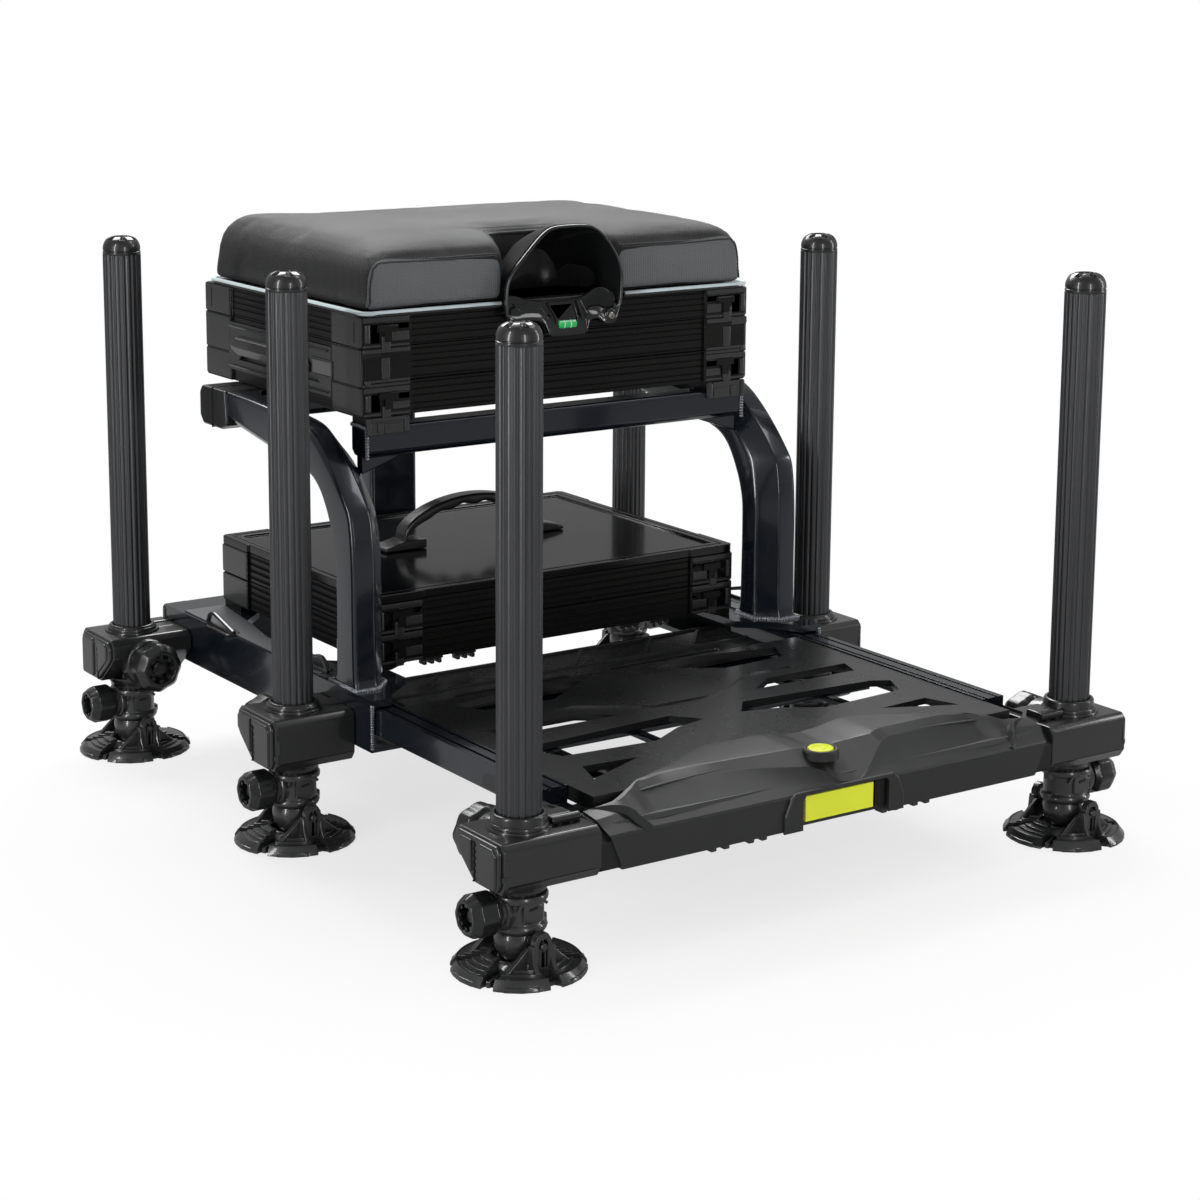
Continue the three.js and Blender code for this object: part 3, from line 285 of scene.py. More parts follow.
class Form:
    """Points in millimetres and the faces between them."""

    def __init__(self, points=(), faces=()):
        self.points = [Vector(p) for p in points]
        self.faces = [list(f) for f in faces]

    def __add__(self, other):
        start = len(self.points)
        return Form(self.points + other.points, self.faces + [[i + start for i in f] for f in other.faces])

    def through(self, matrix):
        return Form([matrix @ p for p in self.points], self.faces)

    def moved(self, x=0.0, y=0.0, z=0.0):
        return self.through(Matrix.Translation((x, y, z)))

    def turned(self, degrees, axis):
        return self.through(Matrix.Rotation(math.radians(degrees), 4, axis))

    def mirrored(self):
        return Form([(-p.x, p.y, p.z) for p in self.points], [f[::-1] for f in self.faces])

    def on_side(self, side):
        """A form drawn for the right side, as it stands on the side that is asked for."""
        return self if side > 0 else self.mirrored()

    def bevelled(self, width, segments=2, angle=28):
        bm = bmesh_of(self)
        sharp = [e for e in bm.edges if len(e.link_faces) == 2 and e.calc_face_angle(0) > math.radians(angle)]
        bmesh.ops.bevel(bm, geom=sharp, offset=width, offset_type="OFFSET", segments=segments, profile=0.5,
                        affect="EDGES", clamp_overlap=True)
        return form_of(bm)


def joined(*forms):
    """Several forms as one."""
    whole = Form()
    for form in forms:
        start = len(whole.points)
        whole.points += form.points
        whole.faces += [[i + start for i in f] for f in form.faces]
    return whole


def both(form):
    """A form and its mirror image on the other side."""
    return joined(form, form.mirrored())


def bmesh_of(form):
    """A form as a bmesh: points that coincide become one, and its faces look outwards."""
    bm = bmesh.new()
    corners = [bm.verts.new(p) for p in form.points]
    for face in form.faces:
        ring = [corners[i] for i in dict.fromkeys(face)]
        if len(ring) > 2 and not bm.faces.get(ring):
            bm.faces.new(ring)
    bmesh.ops.remove_doubles(bm, verts=bm.verts, dist=0.003)
    bmesh.ops.recalc_face_normals(bm, faces=bm.faces)
    return bm


def form_of(bm):
    bm.verts.index_update()
    made = Form([v.co.copy() for v in bm.verts], [[v.index for v in f.verts] for f in bm.faces])
    bm.free()
    return made


def form_from(mesh):
    """The shape of a mesh, which is then removed."""
    made = Form([v.co.copy() for v in mesh.vertices], [list(p.vertices) for p in mesh.polygons])
    bpy.data.meshes.remove(mesh)
    return made


def cad_form(node):
    """A CAD node's shape with its flat faces merged, ready for softened edges."""
    bm = bmesh.new()
    bm.from_mesh(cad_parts[node].data)
    bmesh.ops.scale(bm, vec=(1 / MM,) * 3, verts=bm.verts)
    bmesh.ops.remove_doubles(bm, verts=bm.verts, dist=0.02)
    bmesh.ops.dissolve_limit(bm, angle_limit=math.radians(1.5), verts=bm.verts, edges=bm.edges)
    return form_of(bm)


def skin(rings, closed=True, ends=True):
    """A skin over rings of matching points."""
    count = len(rings[0])
    faces = []
    for a in range(0, (len(rings) - 1) * count, count):
        b = a + count
        for i in range(count if closed else count - 1):
            j = (i + 1) % count
            faces.append([a + i, a + j, b + j, b + i])
    if ends:
        faces += [list(range(count))[::-1], [(len(rings) - 1) * count + i for i in range(count)]]
    return Form([p for ring in rings for p in ring], faces)


def lathe(profile, steps=48, loop=False):
    """A profile of (radius, height) points turned about Z. A closed loop makes a ring."""
    points, index = [], []
    for radius, height in profile:
        if radius < 0.001:
            index.append([len(points)] * steps)
            points.append((0, 0, height))
        else:
            index.append([len(points) + i for i in range(steps)])
            points += [(radius * math.cos(FULL * i / steps), radius * math.sin(FULL * i / steps), height)
                       for i in range(steps)]
    faces = []
    pairs = list(zip(index, index[1:])) + ([(index[-1], index[0])] if loop else [])
    for low, high in pairs:
        for i in range(steps):
            j = (i + 1) % steps
            faces.append([low[i], low[j], high[j], high[i]])
    return Form(points, faces)


TURNS = {"z": Matrix.Identity(4), "x": Matrix.Rotation(math.pi / 2, 4, "Y"),
         "-x": Matrix.Rotation(-math.pi / 2, 4, "Y"), "y": Matrix.Rotation(-math.pi / 2, 4, "X"),
         "-y": Matrix.Rotation(math.pi / 2, 4, "X")}


def aimed(form, way, at=(0, 0, 0)):
    """A form made along Z, pointed along another axis and put in its place."""
    return form.through(Matrix.Translation(at) @ TURNS[way])


def toward(axis, sign):
    """The name of an axis, or of its opposite where sign is negative."""
    return axis if sign > 0 else "-" + axis


def upright(form, y):
    """A form drawn flat, stood up in X and Z so that its top looks to the front."""
    return aimed(form, "-y", (0, y, 0))


def bar(axis, outline, low, high):
    """An outline in the plane across an axis, pushed along that axis."""
    place = {"x": lambda a, b, c: (c, a, b), "y": lambda a, b, c: (a, c, b), "z": lambda a, b, c: (a, b, c)}[axis]
    return skin([[place(a, b, c) for a, b in outline] for c in (low, high)])


def block(low, high):
    (x0, y0, z0), (x1, y1, z1) = low, high
    return bar("z", [(x0, y0), (x1, y0), (x1, y1), (x0, y1)], z0, z1)


def rounded(a0, a1, b0, b1, radius, steps=5):
    """A rectangle with rounded corners, as flat points."""
    ring = []
    for a, b, quarter in ((a1 - radius, b1 - radius, 0), (a0 + radius, b1 - radius, 1),
                          (a0 + radius, b0 + radius, 2), (a1 - radius, b0 + radius, 3)):
        for i in range(steps + 1):
            angle = (quarter + i / steps) * math.pi / 2
            ring.append((a + radius * math.cos(angle), b + radius * math.sin(angle)))
    return ring


def eased(points, steps=6):
    """A smooth line through points."""
    line = []
    pts = [Vector(p) for p in points]
    for i in range(len(pts) - 1):
        before = pts[i - 1] if i else pts[0] * 2 - pts[1]
        after = pts[i + 2] if i + 2 < len(pts) else pts[-1] * 2 - pts[-2]
        a, b = pts[i], pts[i + 1]
        for s in range(steps):
            t = s / steps
            line.append(0.5 * (2 * a + (b - before) * t + (2 * before - 5 * a + 4 * b - after) * t * t
                               + (3 * a - before - 3 * b + after) * t ** 3))
    return line + [pts[-1]]


def eased_flat(points, steps):
    """A smooth line through flat points."""
    return [(p.x, p.y) for p in eased([(a, b, 0) for a, b in points], steps)]


def swept(path, section):
    """A section of (side, up) points carried along a path."""
    pts = [Vector(p) for p in path]
    rings = []
    for i, p in enumerate(pts):
        along = (pts[min(i + 1, len(pts) - 1)] - pts[max(i - 1, 0)]).normalized()
        side = along.cross(Vector((0, 0, 1))).normalized()
        rise = side.cross(along)
        rings.append([p + side * u + rise * v for u, v in section])
    return skin(rings)


def round_section(radius, steps):
    return [(radius * math.cos(FULL * i / steps), radius * math.sin(FULL * i / steps)) for i in range(steps)]


def plate(outline, holes, low, high, bevel=0.6):
    """A flat plate with softened edges, cut by holes."""
    curve = bpy.data.curves.new("plate", "CURVE")
    curve.dimensions = "2D"
    curve.fill_mode = "BOTH"
    curve.extrude = (high - low) / 2 - bevel
    curve.bevel_depth = bevel
    curve.bevel_resolution = 1
    curve.offset = -bevel
    for ring in [outline, *holes]:
        spline = curve.splines.new("POLY")
        spline.points.add(len(ring) - 1)
        for point, (a, b) in zip(spline.points, ring):
            point.co = (a, b, 0, 1)
        spline.use_cyclic_u = True
    holder = added("plate", curve)
    mesh = evaluated(holder)
    bpy.data.objects.remove(holder)
    return form_from(mesh).moved(z=(low + high) / 2)


def dress(name, mesh, finish, body, stands_for=(), crisp=42, even=True):
    """Gives a mesh its finish and shading, and lets it ride on its body."""
    if not len(mesh.materials):
        mesh.materials.append(finish.material)
    mesh.shade_smooth()
    mesh.set_sharp_from_angle(angle=math.radians(crisp))
    made = added(name, mesh)
    if even:
        made.modifiers.new("even_shading", "WEIGHTED_NORMAL").keep_sharp = True
    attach(made, body)
    if stands_for:
        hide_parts(*stands_for)
    return made


def mesh_of(name, form):
    bm = bmesh_of(form)
    bmesh.ops.scale(bm, vec=(MM,) * 3, verts=bm.verts)
    mesh = bpy.data.meshes.new(name)
    bm.to_mesh(mesh)
    bm.free()
    return mesh


def piece(name, form, finish, body, stands_for=(), crisp=42, even=True):
    return dress(name, mesh_of(name, form), finish, body, stands_for, crisp, even)


# Geometry Nodes: what repeats, and the fluted tube

class Pattern(Graph):
    """A Geometry Nodes tree with named inputs. Its result is taken as a plain mesh."""

    def __init__(self, name, inputs):
        super().__init__(bpy.data.node_groups.new(name, "GeometryNodeTree"))
        self.tree.interface.new_socket("Geometry", in_out="OUTPUT", socket_type="NodeSocketGeometry")
        self.sockets = {label: self.tree.interface.new_socket(
            label, in_out="INPUT", socket_type="NodeSocket" + kind).identifier
            for label, kind in {**inputs, "Finish": "Material"}.items()}
        self.given = self.tree.nodes.new("NodeGroupInput")

    def __getitem__(self, label):
        return Value(self, self.given.outputs[label])

    def vector(self, x=0.0, y=0.0, z=0.0):
        return self.node("ShaderNodeCombineXYZ", sockets={"X": x, "Y": y, "Z": z})

    def end(self, geometry):
        real = self.node("GeometryNodeRealizeInstances", sockets={"Geometry": geometry})
        coated = self.node("GeometryNodeSetMaterial", sockets={"Geometry": real, "Material": self["Finish"]})
        self.node("NodeGroupOutput", sockets={"Geometry": coated})
        return self

    def form(self, finish, **sizes):
        holder = added("pattern", bpy.data.meshes.new("pattern"))
        modifier = holder.modifiers.new("pattern", "NODES")
        modifier.node_group = self.tree
        modifier[self.sockets["Finish"]] = finish.material
        for label, size in sizes.items():
            modifier[self.sockets[label.replace("_", " ")]] = size
        mesh = evaluated(holder)
        holder.modifiers.remove(modifier)
        bpy.data.objects.remove(holder)
        return form_from(mesh)


def fluted_tube_pattern():
    p = Pattern("fluted_tube", {"Radius": "Float", "Flute depth": "Float", "Flutes": "Int",
                                "Low": "Float", "High": "Float"})
    circle = p.node("GeometryNodeCurvePrimitiveCircle", {"mode": "RADIUS"},
                    {"Resolution": p["Flutes"] * 10, "Radius": p["Radius"]})
    share = p.node("GeometryNodeSplineParameter", output="Factor")
    wave = (share * p["Flutes"] * FULL).sine()
    groove = (wave.math("MAXIMUM", -0.15) + 0.15) * p["Flute depth"]
    keep = 1 - groove / p["Radius"]
    spot = p.node("GeometryNodeInputPosition")
    star = p.node("GeometryNodeSetPosition", sockets={"Geometry": circle, "Position": p.node(
        "ShaderNodeVectorMath", {"operation": "SCALE"}, {0: spot, "Scale": keep})})
    line = p.node("GeometryNodeCurvePrimitiveLine", {"mode": "POINTS"},
                  {"Start": p.vector(z=p["Low"]), "End": p.vector(z=p["High"])})
    tube = p.node("GeometryNodeCurveToMesh", sockets={
        "Curve": line, "Profile Curve": star, "Fill Caps": True})
    return p.end(tube)


def bead_row_pattern():
    """Small rounded beads set along a line: weld ripples and stitches."""
    p = Pattern("bead_row", {"Line": "Object", "Spacing": "Float", "Length": "Float", "Width": "Float"})
    line = p.node("GeometryNodeObjectInfo", sockets={"Object": p["Line"]}, output="Geometry")
    curve = p.node("GeometryNodeMeshToCurve", sockets={"Mesh": line})
    dots = p.node("GeometryNodeResampleCurve", {"mode": "LENGTH"}, {"Curve": curve, "Length": p["Spacing"]})
    along = p.node("GeometryNodeInputTangent")
    aim = p.node("FunctionNodeAlignEulerToVector", {"axis": "X"}, {"Vector": along})
    bead = p.node("GeometryNodeMeshIcoSphere", sockets={"Radius": 0.5, "Subdivisions": 2})
    row = p.node("GeometryNodeInstanceOnPoints", sockets={
        "Points": dots, "Instance": bead, "Rotation": aim,
        "Scale": p.vector(p["Length"], p["Width"], p["Width"])})
    return p.end(row)


def rib_stack_pattern():
    """Long ribs stacked one above the other, as on an extruded strip."""
    p = Pattern("rib_stack", {"Length": "Float", "Ribs": "Int", "Pitch": "Float", "Height": "Float",
                              "Depth": "Float"})
    places = p.node("GeometryNodeMeshLine", {"mode": "OFFSET"},
                    {"Count": p["Ribs"], "Offset": p.vector(z=p["Pitch"])})
    section = p.node("GeometryNodeCurvePrimitiveQuadrilateral", {"mode": "TRAPEZOID"}, {
        "Bottom Width": p["Height"], "Top Width": p["Height"] * 0.55, "Height": p["Depth"], "Offset": 0.0})
    line = p.node("GeometryNodeCurvePrimitiveLine", {"mode": "POINTS"},
                  {"Start": p.vector(x=p["Length"] * -0.5), "End": p.vector(x=p["Length"] * 0.5)})
    rib = p.node("GeometryNodeCurveToMesh", sockets={
        "Curve": line, "Profile Curve": section, "Fill Caps": True})
    return p.end(p.node("GeometryNodeInstanceOnPoints", sockets={"Points": places, "Instance": rib}))


def tooth_ring_pattern():
    """Teeth set round a circle: knob splines and level spokes."""
    p = Pattern("tooth_ring", {"Teeth": "Int", "Radius": "Float", "Length": "Float", "Width": "Float",
                               "Height": "Float"})
    ring = p.node("GeometryNodeMeshCircle", sockets={"Vertices": p["Teeth"], "Radius": p["Radius"]})
    spot = p.node("GeometryNodeInputPosition")
    aim = p.node("FunctionNodeAlignEulerToVector", {"axis": "X"}, {"Vector": spot})
    tooth = p.node("GeometryNodeMeshCube", sockets={
        "Size": p.vector(p["Length"], p["Width"], p["Height"])})
    return p.end(p.node("GeometryNodeInstanceOnPoints", sockets={
        "Points": ring, "Instance": tooth, "Rotation": aim}))


fluted_tube = fluted_tube_pattern()
bead_row = bead_row_pattern()
rib_stack = rib_stack_pattern()
tooth_ring = tooth_ring_pattern()


def beads(points, finish, spacing, length, width):
    """A row of beads along points, as a form."""
    line = bpy.data.meshes.new("line")
    line.from_pydata([tuple(p) for p in points], [(i, i + 1) for i in range(len(points) - 1)], [])
    holder = added("line", line)
    made = bead_row.form(finish, Line=holder, Spacing=spacing, Length=length, Width=width)
    bpy.data.objects.remove(holder)
    bpy.data.meshes.remove(line)
    return made


def ribs(length, count, pitch, height, depth, way, at, finish=strip_anodised):
    """Stacked ribs whose face looks along way, starting at a place."""
    stack = rib_stack.form(finish, Length=length, Ribs=count, Pitch=pitch, Height=height, Depth=depth)
    turn = {"-y": Matrix.Identity(4), "y": Matrix.Rotation(math.pi, 4, "Z"),
            "-x": Matrix.Rotation(-math.pi / 2, 4, "Z"), "x": Matrix.Rotation(math.pi / 2, 4, "Z")}[way]
    return stack.through(Matrix.Translation(at) @ turn)


def teeth(count, radius, length, width, height, finish=knob_moulding):
    return tooth_ring.form(finish, Teeth=count, Radius=radius, Length=length, Width=width, Height=height)


# Pieces that keep the shape of their solid, with softened edges

for name, node, width, segments, finish, body in (
        ("base_rails", "base_frame", 1.4, 2, frame_paint, "frame"),
        ("front_rail", "front_cross_rail", 1.6, 3, frame_paint, "frame"),
        ("rear_rail_column", "rear_column", 1.6, 3, frame_paint, "frame"),
        ("drawer_unit", "drawer_case", 0.5, 1, strip_anodised, "frame"),
        ("tray_shell", "top_tray", 0.5, 1, strip_anodised, "frame"),
        ("side_drawer_box", "drawer", 0.6, 2, casting, "side_drawer"),
        ("case_shell", "case_body", 0.8, 2, strip_anodised, "carry_case"),
        ("case_lid_panel", "case_lid", 1.2, 3, lid_panel, "carry_case_lid"),
        ("footplate_rails", "footplate_frame", 0.9, 2, frame_paint, "footplate"),
        ("footplate_moulding", "footplate_deck", 1.0, 2, deck_moulding, "footplate"),
        ("lime_pull", "release_pull", 0.8, 2, lime, "pull"),
        ("seat_board", "cushion_base", 0.6, 2, moulding, "seat_lid")):
    piece(name, cad_form(node).bevelled(width, segments), finish, body, [node])


# Legs

HANDS = (("left", -1), ("right", 1))
# Y, half span, side that the knob looks to, and reach of the housing towards the frame.
ROWS = {"front": (-347.5, 291.0, 1, 53.1), "middle": (20.0, 292.5, 1, 42.2), "rear": (347.5, 297.0, -1, 46.7)}


def leg_cap():
    """A domed cap with a seam ring and six dark notches round its flat top."""
    profile = [(15.2, 486), (15.2, 490.8), (17.6, 490.8), (17.9, 491.4), (17.9, 493.4), (17.3, 493.9), (17.3, 494.5),
               (17.8, 495), (17.7, 497.6), (17.1, 500.2), (15.9, 502.8), (14.4, 504.8), (13.7, 505.4), (12, 506.4),
               (10.4, 507.1), (9.2, 507.5), (8.6, 507.6), (8.2, 507.2), (8.0, 506.3), (4, 506.7)]
    steps, rings = 96, []
    for index, (radius, height) in enumerate(profile):
        ring = []
        for i in range(steps):
            angle = FULL * i / steps
            notched = 12 <= index <= 15 and abs((i + 4) % 16 - 8) < 3.4
            ring.append((radius * math.cos(angle), radius * math.sin(angle), height - (2.4 if notched else 0)))
        rings.append(ring)
    return skin(rings)


def octagon_share(steps, hollow):
    """Radius shares of an eight-sided knob with a slight hollow in each side."""
    shares = []
    for i in range(steps):
        turn = (FULL * i / steps) % (FULL / 8) - FULL / 16
        flat = math.cos(FULL / 16) / math.cos(turn)
        shares.append(min(flat, 0.972) - hollow * max(0.0, math.cos(turn * 12)))
    return shares


def lock_knob(radius, length):
    """Eight hollowed sides, a bevelled rim and a black splined hollow with a hub in it."""
    steps = 96
    shape = octagon_share(steps, 0.012)
    rings = []
    for z, scale, lobes in ((0, 0.66, 0), (0.4, 0.8, 0.4), (3.4, 0.95, 1), (4.4, 0.99, 1), (6, 1.02, 1),
                            (length - 8, 1.02, 1), (length - 6.8, 1.0, 1), (length - 1, 0.8, 0.9),
                            (length - 0.2, 0.76, 0.8), (length, 0.73, 0.7), (length - 0.2, 0.6, 0),
                            (length - 1.4, 0.56, 0), (length - 10, 0.54, 0)):
        rings.append([(radius * scale * (1 - (1 - s) * lobes) * math.cos(FULL * i / steps),
                       radius * scale * (1 - (1 - s) * lobes) * math.sin(FULL * i / steps), z)
                      for i, s in enumerate(shape)])
    hub = lathe([(0, length - 9), (radius * 0.26, length - 9), (radius * 0.26, length - 5.2),
                 (radius * 0.22, length - 4.6), (0, length - 4.6)], 24)
    splines = teeth(8, radius * 0.5, radius * 0.12, radius * 0.16, 7).moved(z=length - 5)
    flange = lathe([(0, -0.6), (radius * 0.62, -0.6), (radius * 0.62, 1), (0, 1)], 40)
    return joined(skin(rings), hub, splines, flange)


def ring_arc(radius, start, end, low, high, thick, steps=20):
    """A raised band that follows part of a circle, drawn flat and rising along Z."""
    outer = [(radius * math.cos(a), radius * math.sin(a)) for a in
             [math.radians(start + (end - start) * i / steps) for i in range(steps + 1)]]
    inner = [(x * (1 - thick / radius), y * (1 - thick / radius)) for x, y in outer][::-1]
    return bar("z", outer + inner, low, high)


def housing(knob_way, inner_reach, top):
    """The block that a leg slides through, drawn for the right side: end face, collar, boss and skirt."""
    front = -knob_way
    outline = [(-y * front, z) for y, z in (
        (-36, 82), (-31, 74.5), (4, 74.5), (30, 96), (36, 103), (36, top - 6), (30, top), (-31, top), (-36, top - 5))]
    outer = 36.0    # the face that looks away from the box
    body = bar("x", outline, -inner_reach, outer).bevelled(1.5, 2)
    end = bar("x", [(y * 0.9, 95 + (z - 95) * 0.9) for y, z in outline], outer - 1, outer + 3).bevelled(1.8, 3)
    pad = bar("x", [(front * y, z) for y, z in ((29, 80), (27, 78), (6, 78), (3.4, 81), (3.4, top - 8), (6, top - 5),
                                                (24, top - 5), (29, top - 9))], outer + 1, outer + 4.6).bevelled(2.2, 3)
    rear_pad = bar("x", [(front * y, z) for y, z in ((-6, 84), (-14, 90), (-27, 101), (-27, top - 8), (-22, top - 5),
                                                    (-6, top - 5))], outer + 2, outer + 4.4).bevelled(1.4, 2)
    # The jagged groove is a zigzag strip in near-black standing a little proud of the end face: painted shade of a
    # groove.
    jag = [0.9 if i % 2 else -0.9 for i in range(13)]
    wave = [(front * (a - 3.6), 77.5 + 2.7 * i) for i, a in enumerate(jag)]
    groove = bar("x", wave + [(y - 1.8, z) for y, z in wave[::-1]], outer + 2.6, outer + 3.7)
    skirt = lathe([(18.6, 66), (21, 66), (21.8, 67), (21.8, 69.4), (25.2, 73.6), (25.2, 76), (18.6, 76)], 60, loop=True)
    collar = lathe([(18.5, 110), (23.8, 110), (23.8, top + 3), (23.2, top + 4.4), (22.4, top + 4.8), (22.2, 126),
                    (21.6, 127.4), (20.6, 128), (19.2, 128), (18.5, 127)], 72, loop=True)
    tongue = lathe([(18.6, 100), (26.4, 100), (26.4, top + 0.6), (25.4, top + 1.8), (18.6, top + 2)], 72, loop=True)
    boss = aimed(lathe([(0, 22), (23, 22), (23, 36.6), (21.6, 38.2), (19, 38.6), (18.6, 40.8), (0, 40.8)], 56),
                 toward("y", knob_way), (0, 0, 95))
    ears = joined(bar("x", [(-9, 114), (9, 114), (7.6, 121.6), (-7.6, 121.6)], -44, -22).bevelled(1.4, 2),
                  aimed(lathe([(0, -13), (3.4, -13), (3.8, -12.2), (3.8, 12.2), (3.4, 13), (0, 13)], 20), "x",
                        (-34, front * 12, 119)),
                  *[bar("x", [(front * y, z) for y, z in ((6, 114), (15, 114), (15, 118), (6, 119.6))], x, x + 4)
                    for x in (-30, -41)])
    clip = joined(bar("z", [(outer - 1.6, front * 36.8), (outer + 1.6, front * 34.6), (outer + 0.6, front * 33),
                            (outer - 2.6, front * 35.6)], 87, 91),
                  bar("z", [(outer - 3.2, front * 36.7), (outer - 0.4, front * 35.7), (outer - 1.2, front * 34),
                            (outer - 3.8, front * 35)], 91.4, 104))
    lip = bar("x", [(front * 36.5, 82.4), (front * 35, 80.6), (front * 35, 82.8)], -inner_reach + 3, outer - 4)
    return joined(body, end, pad, rear_pad, skirt, collar, tongue, boss, ears, clip, lip), groove


def foot_clamp(side):
    """The sleeve at the foot of a tube: bulged rings, a cross boss for its knob and a slotted face."""
    sleeve = lathe([(14.2, 33), (19, 33), (21.4, 34.4), (22.4, 37), (21.6, 39.6), (20.2, 40.8), (19.6, 42), (19.6, 57),
                    (20.4, 58), (22.6, 59), (23, 60.4), (23, 62.6), (22, 64), (18.6, 64), (18.6, 46.4), (14.2, 46)], 60,
                   loop=True)
    boss = aimed(lathe([(0, 6), (13.6, 6), (14.6, 14), (15.6, 15), (16, 16), (16, 18.6), (15, 19.6), (14, 20),
                        (14, 22.4), (13, 23.4), (0, 23.4)], 44), toward("x", side), (0, 0, 50.4))
    cheek = bar("x", [(-13, 38), (13, 38), (15.4, 50), (12, 60.4), (-12, 60.4), (-15.4, 50)], min(side * 8, side * 15),
                max(side * 8, side * 15)).bevelled(1.6, 2)
    face = bar("y", [(-9, 43), (6, 43), (9.4, 46), (9.4, 55), (4, 59.4), (-9, 59.4)], -21, -17).bevelled(1.2, 2)
    relief = ring_arc(17.6, 40, 150, -2, 0.9, 2.2).through(TURNS["-y"]).moved(-side * 0.6, -19.4, 46)
    strap = joined(*[bar("z", [(-side * 18, -5), (-side * 24, -3.4), (-side * 24, 3.4), (-side * 18, 5)],
                         z, z + 6.4).bevelled(0.9, 2) for z in (35.4, 54.6)])
    return joined(sleeve, boss, cheek, face, relief, strap)


# A thin near-black sheet on the sleeve's slotted face: painted shade of its slot.
def foot_clamp_slot():
    return bar("y", [(-3.6, 53), (3.6, 54), (3.6, 56), (-3.6, 55)], -21.6, -20.4)


def stem_and_ball():
    ball = [(20 * math.cos(a), 25 + 20 * math.sin(a)) for a in
            [math.radians(-90 + i * 112 / 20) for i in range(21)]]
    ball[0] = (0, 5)
    return lathe(ball + [(16.4, 32.3), (13.4, 32.7), (13.4, 232), (0, 232)], 56)


def foot_pad():
    """Six petals with three ridges each, a low socket for the ball and two pinned ears."""
    made = []
    for i in range(6):
        around = FULL * i / 6
        half = FULL / 12 - 0.02

        def at(radius, angle):
            return (radius * math.cos(around + angle), radius * math.sin(around + angle))

        def fan(near, far, share, low, high, soft):
            edge = [at(far, half * share * s / 5) for s in range(-5, 6)]
            back = [at(near, half * share * 0.9 * s / 3) for s in range(3, -4, -1)]
            return plate(edge + back, [], low, high, soft)

        slab = [at(20, -half * 0.8), at(40, -half), at(50, -half * 0.82), at(54, -half * 0.5), at(54.2, 0),
                at(54, half * 0.5), at(50, half * 0.82), at(40, half), at(20, half * 0.8)]
        slot = [at(45, -half * 0.86), at(45, -half * 0.7), at(41, -half * 0.7), at(41, -half * 0.88)]
        made.append(plate(slab, [slot[::-1]], 0.2, 4.6, 0.7))
        rim = [[at(r, half * 0.84 * s / 6) + (z,) for s in range(-6, 7)]
               for r, z in ((54, 0.8), (53.8, 3.6), (49.4, 9), (48.2, 9), (47.8, 8), (47.8, 1))]
        made.append(skin([[ring[k] for ring in rim] for k in range(13)]))
        for near, far, share, top in ((24, 47.8, 0.8, 9), (24, 42.6, 0.76, 10.6), (24, 37.4, 0.7, 12.2),
                                      (22, 31, 0.62, 14.4)):
            made.append(fan(near, far, share, 4, top, 0.6))
        if i % 3 != 1:
            rib = [at(27, half * 0.92), at(50, half * 0.94), at(50, half * 1.08), at(27, half * 1.1)]
            made.append(plate(rib, [], 1, 6.2, 0.5))
    made.append(lathe([(20.9, 4), (28, 4), (27.4, 9), (25, 12), (23.4, 13), (22, 12.8), (20.9, 11)], 72, loop=True))
    made.append(lathe([(0, 0.4), (46, 0.4), (46.6, 1), (46.6, 3), (46, 3.6), (24, 3.6), (24, 4.8), (0, 4.8)], 72))
    for way in (-1, 1):
        outline = [(-8.6, 3), (8.6, 3), (8.2, 28), (7.4, 34), (4.6, 38.4), (0, 39.8), (-4.6, 38.4), (-7.4, 34),
                   (-8.2, 28)]
        slot = [(-3.4, 12), (3.4, 12), (3.8, 31), (2.2, 34.2), (-2.2, 34.2), (-3.8, 31)]
        made.append(upright(plate(outline, [slot], 0, 7, 0.9), 35.4 if way > 0 else -28.4))
        loop = plate([(-3, 9), (3, 9), (3, 30), (0, 33), (-3, 30)], [[(-1.3, 12), (1.3, 12), (1.3, 24), (-1.3, 24)]],
                     0, 4, 0.6)
        made.append(upright(loop, 34.4 if way > 0 else -30.4))
        gusset = bar("y", [(-30, 6), (30, 6), (30, 9), (10, 27), (-10, 27), (-30, 9)], *sorted((way * 24.6, way * 29)))
        made.append(gusset.bevelled(1.0, 2))
        wing = bar("x", [(way * 24, 5), (way * 44, 5), (way * 36.4, 17), (way * 35, 30), (way * 29, 30)], -1.8, 1.8)
        made += [wing.bevelled(0.5, 1).moved(x=x) for x in (-8.4, 8.4)]
        made.append(aimed(lathe([(0, 0), (3.2, 0), (3.2, 8), (2.4, 9), (0, 9)], 20), toward("y", way),
                          (0, way * 28, 28.5)))
    return joined(*made)


REAR_RIGHT_DROP = 14
TUBE_LOW, TUBE_TOP = 46.0, 490.7
# The tops of the housings, and where the knobs sit: how far out from the tube, and how high.
FRONT_HOUSING_TOP, HOUSING_TOP = 115.6, 121
LOCK_REACH, LOCK_HEIGHT = 41.3, 95
CLAMP_REACH, CLAMP_HEIGHT = 23.8, 51
cap_form, pad_form, stem_form = leg_cap(), foot_pad(), stem_and_ball()
knob_form, small_knob_form = lock_knob(24, 26), lock_knob(18.5, 26)

